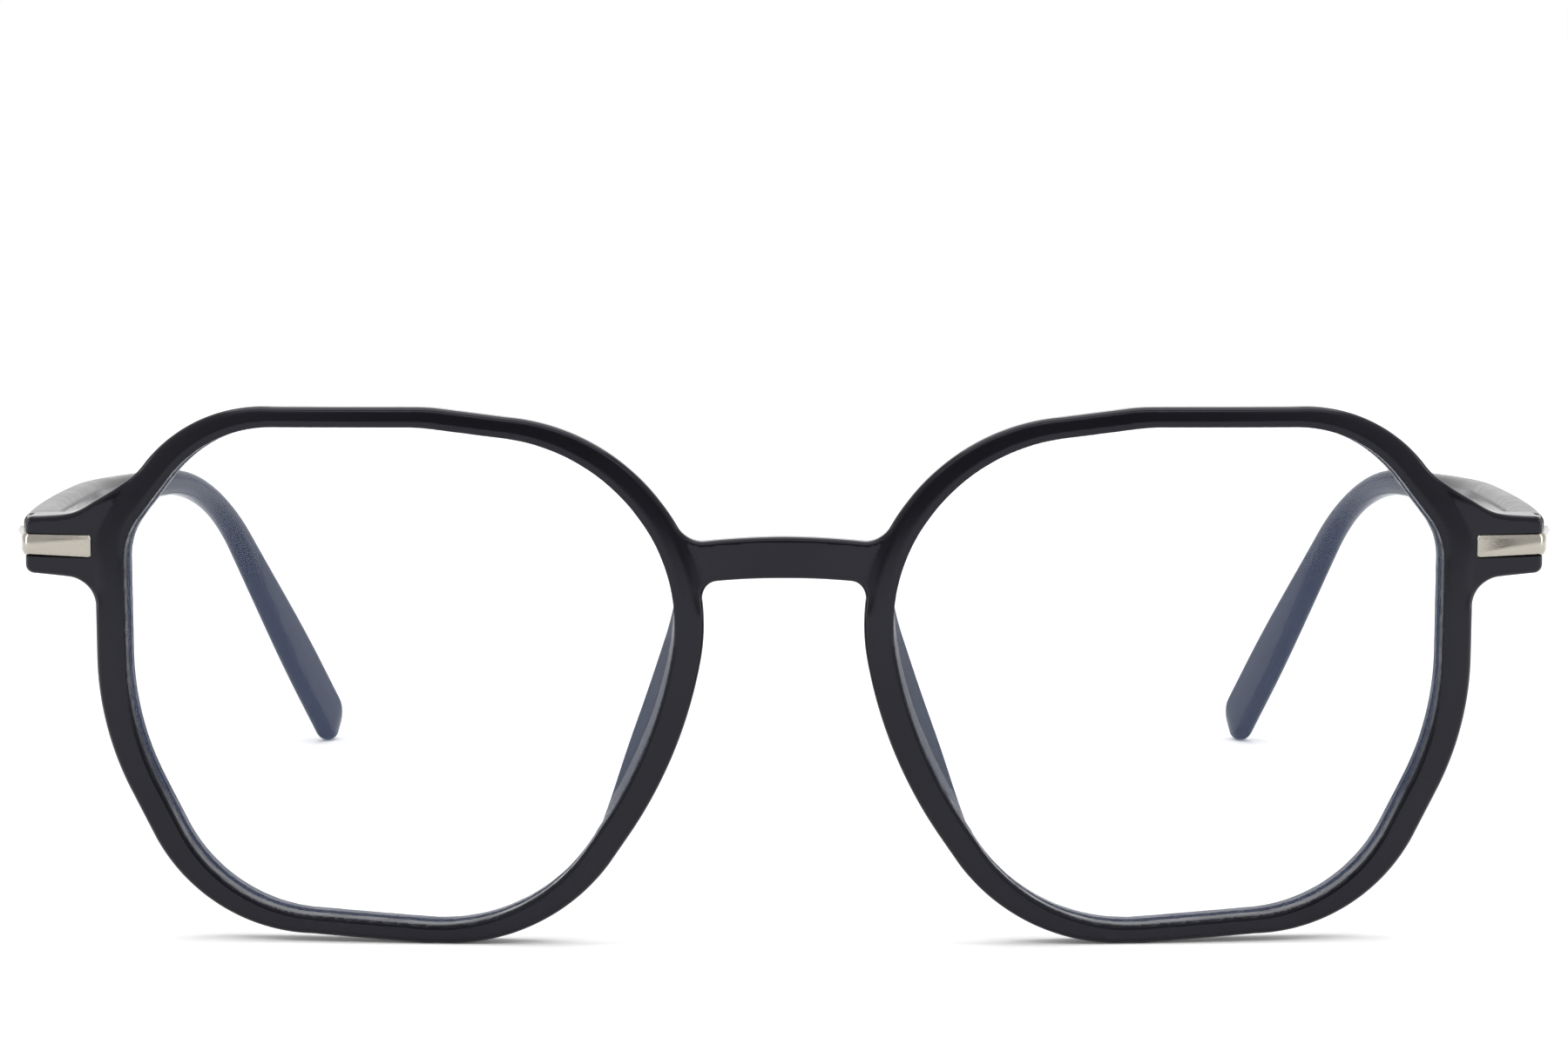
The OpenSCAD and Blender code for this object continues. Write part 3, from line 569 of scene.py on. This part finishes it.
def bump(tree, source, strength, distance, shader):
    """Fine relief from a noise, its depth in metres."""
    node = tree.nodes.new("ShaderNodeBump")
    node.inputs["Strength"].default_value = strength
    node.inputs["Distance"].default_value = distance
    tree.links.new(source, node.inputs["Height"])
    tree.links.new(node.outputs["Normal"], shader.inputs["Normal"])


def ramp_along(tree, place, axis, start, stop, at_start, at_stop, target):
    """Drives a shader input from one value to another along an axis of the part."""
    split = tree.nodes.new("ShaderNodeSeparateXYZ")
    tree.links.new(place.outputs["Object"], split.inputs[0])
    tree.links.new(remap(tree, split.outputs[axis], start, stop, at_start, at_stop), target)


def gloss_plastic(name, dark, light, rough, sheen):
    """Polished black plastic. Its sheen is one level, or a run of levels from front to back."""
    material, tree, shader, place = new_material(name)
    broad = noise_of(tree, place, 90, 2)
    fine = noise_of(tree, place, 300, 1)
    tint(tree, broad, dark, light, shader.inputs["Base Color"])
    spread(tree, fine, rough * 0.9, rough * 1.12, shader.inputs["Roughness"])
    bump(tree, noise_of(tree, place, 420, 2), 0.05, 0.000015, shader)
    shader.inputs["IOR"].default_value = 1.48
    if isinstance(sheen, tuple):
        ramp_along(tree, place, "Y", *sheen, shader.inputs["Specular IOR Level"])
    else:
        shader.inputs["Specular IOR Level"].default_value = sheen
    shader.inputs["Specular Tint"].default_value = (0.86, 0.87, 1.0, 1)
    return material


def satin_plastic(name, dark, light):
    """The milled wall of a lens opening: dull at the sides and more reflective along its lower run. The shine
    low down is not wear: it is a painted sheen, raised so that the lower run shows the lamp above as a light
    band.
    """
    material, tree, shader, place = new_material(name)
    grain = noise_of(tree, place, 1100, 4, (1.0, 9.0, 1.0))
    tint(tree, grain, dark, light, shader.inputs["Base Color"])
    spread(tree, noise_of(tree, place, 260, 3, (1.0, 6.0, 4.0)), 0.12, 0.45, shader.inputs["Roughness"])
    bump(tree, grain, 0.1, 0.00006, shader)
    # Painted sheen: the specular level falls from the low part of the wall to the high part, so the lower run
    # shines and the sides stay dull
    ramp_along(tree, place, "Z", 0.006, 0.014, 0.6, 0.03, shader.inputs["Specular IOR Level"])
    return material


def metal(name, dark, light, rough, stretch):
    material, tree, shader, place = new_material(name)
    shader.inputs["Metallic"].default_value = 1.0
    grain = noise_of(tree, place, 900, 5, stretch)
    tint(tree, grain, dark, light, shader.inputs["Base Color"])
    spread(tree, grain, rough * 0.85, rough * 1.2, shader.inputs["Roughness"])
    bump(tree, grain, 0.12, 0.00005, shader)
    return material


def matte_plastic(name, dark, light):
    material, tree, shader, place = new_material(name)
    grain = noise_of(tree, place, 1200, 4)
    tint(tree, grain, dark, light, shader.inputs["Base Color"])
    spread(tree, grain, 0.5, 0.65, shader.inputs["Roughness"])
    bump(tree, grain, 0.15, 0.0001, shader)
    return material


def coated_lens(name):
    """Clear lens: mostly see-through, with the thin bluish haze of its coating."""
    material, tree, shader, place = new_material(name)
    coating = noise_of(tree, place, 30, 1)
    tint(tree, coating, (0.42, 0.56, 0.98), (0.5, 0.62, 1.0), shader.inputs["Base Color"])
    spread(tree, noise_of(tree, place, 700, 3), 0.03, 0.05, shader.inputs["Roughness"])
    shader.inputs["Alpha"].default_value = 0.045
    return material


black_front = gloss_plastic("gloss_black_front", (0.0035, 0.0035, 0.0055), (0.006, 0.006, 0.0085), 0.12, 0.27)
satin = satin_plastic("milled_black", (0.010, 0.012, 0.020), (0.018, 0.021, 0.032))
black_temple = gloss_plastic("gloss_black_temple", (0.004, 0.004, 0.006), (0.007, 0.007, 0.010), 0.2,
                             (0.02, 0.05, 0.3, 0.03))
pad_black = gloss_plastic("satin_black_pads", (0.004, 0.005, 0.009), (0.010, 0.012, 0.020), 0.3, 0.035)
nickel = metal("warm_nickel", (0.34, 0.32, 0.28), (0.39, 0.365, 0.32), 0.16, (1.0, 14.0, 14.0))
steel = metal("screw_steel", (0.42, 0.42, 0.42), (0.55, 0.55, 0.56), 0.3, (12.0, 12.0, 1.0))
nylon = matte_plastic("washer_nylon", (0.62, 0.61, 0.57), (0.72, 0.71, 0.67))
clear = coated_lens("coated_clear_lens")


# Moulded front: the rounding of a slot's inner end, how far the gloss runs on behind the rim onto a pad,
# how far a cutter stands out of the face, and the steps of the slot's bend
END_ROUND, PAD_GLOSS, CUT_OUT, BEND_STEPS = 0.35, 1.8, 1.0, 24


def slot_cutter(mirror):
    """Closed solid of the bent slot that holds the bracket strip."""
    g = SEAT_GAP
    h = STRIP_H / 2 + g
    section = [(-CUT_OUT, -h), (STRIP_T + g, -h), (STRIP_T + g, h), (-CUT_OUT, h)]
    r = END_ROUND + g
    rings = []
    for a in range(0, 91, 15):
        tall = (h - r + r * sind(a)) / h
        rings.append(np.array([(-STRIP_FRONT - g + r * (1 - cosd(a)), p, q * tall) for p, q in section]))
    rings.append(np.array([(-SETBACK, p, q) for p, q in section]))
    for k in range(1, BEND_STEPS + 1):
        a = STRIP_TURN * k / BEND_STEPS
        rings.append(np.array([(-SETBACK + (STRIP_R - p) * sind(a), STRIP_R - (STRIP_R - p) * cosd(a), q)
                               for p, q in section]))
    ahead = np.array([cosd(STRIP_TURN), sind(STRIP_TURN), 0.0])
    last = rings[-1]
    for far in (1.0, STRIP_SIDE):
        rings.append(last + far * (ahead * cosd(PANTO) + np.array([0, 0, -sind(PANTO)])))
    points = np.concatenate(rings)
    faces = tube_faces(len(rings), len(section))
    return piece("slot_cut", points, faces, front_matrix() @ STRIP_MATRIX, None, 0, mirror)


def lathe_cutter(profile, matrix, mirror, sides=40):
    """Closed solid turned from a profile of (height, radius)."""
    points = np.array([(r * cosd(360 * k / sides), r * sind(360 * k / sides), z)
                       for z, r in profile for k in range(sides)])
    return piece("turned_cut", points, tube_faces(len(profile), sides), matrix, None, 0, mirror)


def outward(obj):
    """Turns a closed mesh's faces outward."""
    mesh = obj.data
    mesh.calc_loop_triangles()
    co = np.array([v.co for v in mesh.vertices])
    tri = np.array([t.vertices for t in mesh.loop_triangles])
    a, b, c = co[tri[:, 0]], co[tri[:, 1]], co[tri[:, 2]]
    volume = float((a * np.cross(b, c)).sum())
    if volume < 0:
        mesh.flip_normals()
    return obj


# Space that the front's skin is looked for in: half its width, its front and back, and half its height
SPACE_X = math.ceil((END_X + 1) / (GRID * PER_BLOCK)) * GRID * PER_BLOCK
SPACE_FRONT, SPACE_BACK, SPACE_Z = -1.6, 15.2, 26.4
points, quads = skin(front_field, (-SPACE_X, SPACE_FRONT, -SPACE_Z), (SPACE_X, SPACE_BACK, SPACE_Z), GRID)
shell = outward(piece("front_shell", points, quads, front_matrix(), black_front, 0))
cutters = []
for mirror in (False, True):
    cutters.append(outward(slot_cutter(mirror)))
    for k in (0, 1):
        along = -STRIP_FRONT + FIX_FIRST + k * FIX_PITCH
        at = (front_matrix() @ STRIP_MATRIX @ Matrix.Translation((along, 0, 0))
              @ Matrix.Rotation(math.radians(-90), 4, "X"))
        seat = STRIP_T + FIX_BED
        profile = [(0, FIX_R + 2 * SEAT_GAP), (seat, FIX_R + 2 * SEAT_GAP),
                   (seat + 0.001, FIX_HEAD_R + SEAT_GAP), (seat + END_DEPTH, FIX_HEAD_R + SEAT_GAP)]
        cutters.append(outward(lathe_cutter(profile, at, mirror)))
carve(shell, cutters)
while len(shell.data.materials) > 1:
    shell.data.materials.pop()
shell.data.materials.append(satin)
shell.data.materials.append(pad_black)
middles = np.zeros(len(shell.data.polygons) * 3)
shell.data.polygons.foreach_get("center", middles)
middles = move(middles.reshape(-1, 3) / MM, front_matrix().inverted())
out, deep, nx, _ = rim_place(np.abs(middles[:, 0]), middles[:, 1], middles[:, 2])
wall = (out < 0.06 + opening_wall(deep)) & (deep > LIP_CHAMFER) & (deep < RIM_DEPTH - LIP_CHAMFER)
on_pad = (deep > RIM_DEPTH + PAD_GLOSS) & (nx < -PAD_SIDE)
shell.data.polygons.foreach_set("material_index", (wall + 2 * on_pad).astype(np.int32))
field_normals(shell, front_field, front_matrix())
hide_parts("front_frame")
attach(shell, "front")


# Lenses, with the bevel that sits in the rim's groove: gap between points, softened edge, bevel's slope
LENS_GAP, LENS_EDGE, BEVEL_SLOPE = 0.35, 0.06, 0.12


def lens_piece(name, mirror):
    rim = outline_points(LENS_GAP)

    def sheet(depth, grow, shares):
        """Rings of a lens face at a depth, inward from its edge."""
        rows = []
        for s in shares:
            x = LENS_X + (rim[:, 0] + grow * rim[:, 2]) * s
            z = (rim[:, 1] + grow * rim[:, 3]) * s
            x = x - depth * sind(WRAP)
            r = CURVE_R - depth
            rows.append(np.stack([x, CURVE_Y - np.sqrt(r * r - (x - CURVE_X) ** 2 - z * z), z], 1))
        return rows

    shares = [1, 0.985, 0.96, 0.92, 0.86, 0.78, 0.68, 0.57, 0.46, 0.35, 0.24, 0.14, 0.06, 0.02]
    edge = opening_wall(LENS_SET + LENS_T) - SEAT_GAP
    bevel = LENS_SET + (LENS_T - BEVEL_T) / 2
    reach = BEVEL_REACH - RIM_LIP
    rings = sheet(LENS_SET, edge, shares[::-1])
    for depth, grow in ((LENS_SET + LENS_EDGE, edge), (bevel, edge), (bevel + BEVEL_SLOPE, reach),
                        (bevel + BEVEL_T - BEVEL_SLOPE, reach), (bevel + BEVEL_T, edge),
                        (LENS_SET + LENS_T - LENS_EDGE, edge)):
        rings += sheet(depth, grow, [1.0])
    rings += sheet(LENS_SET + LENS_T, edge, shares)
    faces = tube_faces(len(rings), len(rim))
    return outward(piece(name, np.concatenate(rings), faces, front_matrix(), clear, 30, mirror))


for side, mirror in (("left", False), ("right", True)):
    lens = lens_piece("lens_clear_" + side, mirror)
    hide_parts("lens_" + side)
    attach(lens, "front")


# Temples: the rounding of their root, the flatness of their tip, and the stations along them
ROOT_EDGE, TIP_FLAT, STATIONS, TIP_STATIONS = 0.8, 0.35, 230, 22


def ramp(q, a, b):
    return min(1, max(0, (q - a) / (b - a)))


def ease(q, a, b):
    t = ramp(q, a, b)
    return t * t * (3 - 2 * t)


def turn_of(q):
    return BOW_OUT * (1 - ramp(q, 0, BOW_LEN)) - TURN_IN * ramp(q, TURN_AT, TURN_AT + TURN_LEN)


BEND_ARC = BEND_R * math.pi / 180
TIP_R = TIP_H / 2


def tip_height(bend):
    """Height of a tip over the floor for an angle of the bend."""
    leg = TEMPLE_LEN - TIP_R - BEND_AT - BEND_ARC * bend
    fall = BEND_R * (1 - cosd(bend)) + leg * sind(bend)
    run = BEND_R * sind(bend) + leg * cosd(bend)
    slope = PANTO - FRONT_LEAN
    return (STAND_H + lean_z - TIP_R - fall * cosd(slope)
            - (ROOT[1] + BEND_AT + run * cosd(TURN_IN)) * sind(slope))


# The bend that sets the tips down on the floor
bend_low, bend_high = 5.0, 80.0
for _ in range(40):
    middle = (bend_low + bend_high) / 2
    bend_low, bend_high = (middle, bend_high) if tip_height(middle) > 0 else (bend_low, middle)
BEND = bend_low


def drop_of(q):
    return BEND * ramp(q, BEND_AT, BEND_AT + BEND_ARC * BEND)


def swell(q, root, bend, tip):
    return (root + (bend - root) * ramp(q, 0, BEND_AT)
            + (tip - bend) * ease(q, TEMPLE_LEN - TIP_SWELL_LEN, TEMPLE_LEN - TIP_FULL_LEN))


def round_box(w, h, r, steps):
    """Ring of a box with rounded corners."""
    ring = []
    for sx, sz, a0 in ((1, 1, 0), (-1, 1, 90), (-1, -1, 180), (1, -1, 270)):
        for k in range(steps + 1):
            a = a0 + 90 * k / steps
            ring.append((sx * (w / 2 - r) + r * cosd(a), sz * (h / 2 - r) + r * sind(a)))
    return ring


def temple_rings():
    """Rings of the left temple along its path, in the hinge's frame."""
    stations = [ROOT_EDGE * (1 - cosd(a)) for a in range(0, 90, 8)]
    stations += list(np.linspace(ROOT_EDGE, TEMPLE_LEN - TIP_R, STATIONS))
    stations += [TEMPLE_LEN - TIP_R + TIP_R * sind(a) for a in np.linspace(3, 88, TIP_STATIONS)]
    path = [ROOT]
    for a, b in zip(stations[:-1], stations[1:]):
        h, d = turn_of((a + b) / 2), drop_of((a + b) / 2)
        path.append(path[-1] + (b - a) * np.array([sind(h) * cosd(d), cosd(h) * cosd(d), -sind(d)]))
    rings = []
    for q, at in zip(stations, path):
        h, d = turn_of(q), drop_of(q)
        cap = math.sqrt(max(0.0005, 1 - max(0, (q - TEMPLE_LEN + TIP_R) / TIP_R) ** 2))
        back = max(0, 1 - q / ROOT_EDGE)
        cut = 2 * ROOT_EDGE * (1 - math.sqrt(1 - back * back))
        wide = swell(q, ROOT_T, BEND_T, TIP_T) * (TIP_FLAT + (1 - TIP_FLAT) * cap) - cut / 2
        tall = swell(q, ROOT_H, BEND_H, TIP_H) * cap - cut
        across = np.array([cosd(h), -sind(h), 0])
        up = np.array([sind(h) * sind(d), cosd(h) * sind(d), cosd(d)])
        rounder = 0.3 + 0.08 * ramp(q, 4, 30) + 0.115 * ease(q, BEND_AT, TEMPLE_LEN - TIP_SWELL_LEN)
        section = round_box(wide, tall, rounder * min(wide, tall), 7)
        rings.append([at + p[0] * across + p[1] * up for p in section])
    return np.array(rings)


def block_cutter(name, low, high, matrix, mirror):
    """Closed block between two corners."""
    ring = ((low[0], low[2]), (high[0], low[2]), (high[0], high[2]), (low[0], high[2]))
    corners = np.array([(x, y, z) for y in (low[1], high[1]) for x, z in ring])
    return outward(piece(name, corners, tube_faces(2, len(ring)), matrix, None, 0, mirror))


arm = temple_rings()
for side, mirror in (("left", False), ("right", True)):
    temple = outward(piece("temple_arm_" + side, arm.reshape(-1, 3), tube_faces(len(arm), arm.shape[1]),
                           hinge_matrix(), black_temple, 50, mirror))
    g = SEAT_GAP
    leaf = hinge_matrix() @ Matrix.Rotation(math.radians(-BOW_OUT), 4, "Z")
    sweep = [(-ROOT_H, SWEEP_R + g), (ROOT_H, SWEEP_R + g)]
    cuts = [outward(lathe_cutter(sweep, hinge_matrix(), mirror, 64)),
            block_cutter("leaf_cut", (LEAF_IN - g, SWEEP_R + LEAF_CLEAR - g, -LEAF_H / 2 - g),
                         (LEAF_IN + LEAF_T + g, LEAF_LEN + g, LEAF_H / 2 + g), leaf, mirror),
            block_cutter("tongue_cut", (LEAF_IN - 2 * g, 0, -MID_H / 2 - g),
                         (LEAF_IN + LEAF_T + 2 * g, LEAF_LEN - 1, MID_H / 2 + g), leaf, mirror)]
    carve(temple, cuts)
    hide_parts("temple_" + side)
    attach(temple, "temple_" + side)


# Brackets: the CAD solids with a rounded inner end and softened edges. Shorter edges stay as they are
SOFT_EDGE, SOFT_ANGLE, SHORT_EDGE = 0.045, 32, 0.12


def soft_bracket(name, node, mirror):
    work = bmesh.new()
    work.from_mesh(node.data)
    bmesh.ops.remove_doubles(work, verts=work.verts, dist=2e-6)
    bmesh.ops.dissolve_limit(work, angle_limit=math.radians(0.5), verts=work.verts, edges=work.edges)
    back = (front_matrix() @ STRIP_MATRIX).inverted()
    local = {}
    for v in work.verts:
        p = Vector(v.co) / MM
        if mirror:
            p.x = -p.x
        local[v] = back @ p

    def at_corner(p):
        """True at a corner of the strip's inner end."""
        return p.x < 0.05 - STRIP_FRONT and abs(abs(p.z) - STRIP_H / 2) < 0.03

    ends = [e for e in work.edges if all(at_corner(local[v]) for v in e.verts)
            and abs(local[e.verts[0]].y - local[e.verts[1]].y) > 0.5]
    if ends:
        bmesh.ops.bevel(work, geom=ends, offset=END_ROUND * MM, segments=5, profile=0.5, affect="EDGES")
    sharp = [e for e in work.edges
             if len(e.link_faces) == 2 and e.calc_face_angle(0) > math.radians(SOFT_ANGLE)
             and e.calc_length() > SHORT_EDGE * MM]
    bmesh.ops.bevel(work, geom=sharp, offset=SOFT_EDGE * MM, segments=2, profile=0.5, affect="EDGES",
                    clamp_overlap=True)
    mesh = bpy.data.meshes.new(name)
    work.to_mesh(mesh)
    work.free()
    obj = bpy.data.objects.new(name, mesh)
    bpy.context.scene.collection.objects.link(obj)
    mesh.materials.clear()
    mesh.materials.append(nickel)
    for polygon in mesh.polygons:
        polygon.material_index = 0
    mesh.shade_smooth()
    mesh.set_sharp_from_angle(angle=math.radians(30))
    return obj


for side, mirror in (("left", False), ("right", True)):
    bracket = soft_bracket("bracket_" + side, nodes["end_bracket_" + side], mirror)
    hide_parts("end_bracket_" + side)
    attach(bracket, "front")

# Materials of the CAD nodes that stay
for name, node in nodes.items():
    base = name.replace("_left", "").replace("_right", "")
    chosen = {"end_bracket": nickel, "temple_hinge": nickel, "bracket_screws": steel, "hinge_screw": steel,
              "hinge_washers": nylon, "temple_core": steel, "front_frame": black_front,
              "temple": black_temple, "lens": clear}[base]
    node.data.materials.clear()
    node.data.materials.append(chosen)

# Floor, background and light: half the floor's side in metres, and the levels of the room ahead of and
# around the glasses
FLOOR_HALF, DIM, FILL = 3, 0.22, 0.85
floor_mesh = bpy.data.meshes.new("floor")
floor_corners = [(FLOOR_HALF * x, FLOOR_HALF * y, 0) for x, y in ((-1, -1), (1, -1), (1, 1), (-1, 1))]
floor_mesh.from_pydata(floor_corners, [], [(0, 1, 2, 3)])
floor = bpy.data.objects.new("floor", floor_mesh)
bpy.context.scene.collection.objects.link(floor)
floor_paint, tree, shader, place = new_material("floor_paint")
shader.inputs["Base Color"].default_value = (0.95, 0.95, 0.95, 1)
shader.inputs["Roughness"].default_value = 0.6
shader.inputs["Specular IOR Level"].default_value = 0.1


def seen_rays(tree):
    """1 for the rays that the camera, gloss and glass see the background with."""
    path = tree.nodes.new("ShaderNodeLightPath")
    last = path.outputs["Is Camera Ray"]
    for name in ("Is Glossy Ray", "Is Transmission Ray"):
        add = tree.nodes.new("ShaderNodeMath")
        add.operation = "MAXIMUM"
        tree.links.new(last, add.inputs[0])
        tree.links.new(path.outputs[name], add.inputs[1])
        last = add.outputs[0]
    return last


# The seen floor brightens to white with its distance from the glasses, and keeps their shadow
lift = tree.nodes.new("ShaderNodeEmission")
lift.inputs["Color"].default_value = (1, 1, 1, 1)
far_off = tree.nodes.new("ShaderNodeVectorMath")
far_off.operation = "LENGTH"
tree.links.new(place.outputs["Object"], far_off.inputs[0])
tree.links.new(remap(tree, far_off.outputs["Value"], 0.14, 0.34, 0.08, 0.3), lift.inputs["Strength"])
both = tree.nodes.new("ShaderNodeAddShader")
tree.links.new(shader.outputs[0], both.inputs[0])
tree.links.new(lift.outputs[0], both.inputs[1])
choice = tree.nodes.new("ShaderNodeMixShader")
tree.links.new(seen_rays(tree), choice.inputs[0])
tree.links.new(shader.outputs[0], choice.inputs[1])
tree.links.new(both.outputs[0], choice.inputs[2])
tree.links.new(choice.outputs[0], tree.nodes["Material Output"].inputs["Surface"])
floor_mesh.materials.append(floor_paint)

# Studio: white all round and behind the glasses, dim in front of them where the camera stands
world = bpy.data.worlds.new("studio")
bpy.context.scene.world = world
world.use_nodes = True
wt = world.node_tree
white = wt.nodes["Background"]
white.inputs["Color"].default_value = (1, 1, 1, 1)
white.inputs["Strength"].default_value = 1.0
where = wt.nodes.new("ShaderNodeTexCoord")
split = wt.nodes.new("ShaderNodeSeparateXYZ")
wt.links.new(where.outputs["Generated"], split.inputs[0])
room = wt.nodes.new("ShaderNodeBackground")
level = remap(wt, split.outputs["Y"], -0.985, -0.80, DIM, FILL, "SMOOTHSTEP")
wt.links.new(level, room.inputs["Color"])
behind = remap(wt, split.outputs["Y"], -0.1, 0.2, 0.0, 1.0, "SMOOTHSTEP")
shown = wt.nodes.new("ShaderNodeMath")
shown.operation = "MULTIPLY"
wt.links.new(behind, shown.inputs[0])
wt.links.new(seen_rays(wt), shown.inputs[1])
blend = wt.nodes.new("ShaderNodeMixShader")
wt.links.new(shown.outputs[0], blend.inputs[0])
wt.links.new(room.outputs[0], blend.inputs[1])
wt.links.new(white.outputs[0], blend.inputs[2])
wt.links.new(blend.outputs[0], wt.nodes["World Output"].inputs["Surface"])


def area_light(name, at, toward, wide, tall, power):
    """A soft lamp that faces a point, its sizes in metres and its power in watts."""
    data = bpy.data.lights.new(name, "AREA")
    data.shape = "RECTANGLE"
    data.size, data.size_y = wide, tall
    data.energy = power
    obj = bpy.data.objects.new(name, data)
    bpy.context.scene.collection.objects.link(obj)
    obj.location = at
    obj.rotation_euler = (Vector(toward) - Vector(at)).to_track_quat("-Z", "Y").to_euler()


face_centre = (0, -0.07, 0.03)
area_light("top_soft", (0, 0.02, 0.62), (0, -0.03, 0.02), 0.7, 0.5, 2.2)
area_light("strip_left", (0.62, -0.10, 0.10), face_centre, 0.05, 0.5, 0.9)
area_light("strip_right", (-0.62, -0.10, 0.10), face_centre, 0.05, 0.5, 0.9)
area_light("front_soft", (0, -0.52, 0.55), face_centre, 0.9, 0.1, 1.1)

# Camera at the photograph's place: its distance ahead of the front in millimetres, its height in metres,
# its angle below the level, and its lens in millimetres
CAMERA_AHEAD, CAMERA_UP, CAMERA_DIP, CAMERA_LENS = 600, 0.0991, 5.691, 151.47
data = bpy.data.cameras.new("camera")
data.lens = CAMERA_LENS
data.sensor_width = 36
data.clip_start = 0.01
camera = bpy.data.objects.new("camera", data)
camera.location = (0, -(CAMERA_AHEAD + MID_Y) * MM, CAMERA_UP)
camera.rotation_euler = (math.radians(90 - CAMERA_DIP), 0, 0)
bpy.context.scene.collection.objects.link(camera)
bpy.context.scene.camera = camera
bpy.context.scene.view_settings.view_transform = "Standard"
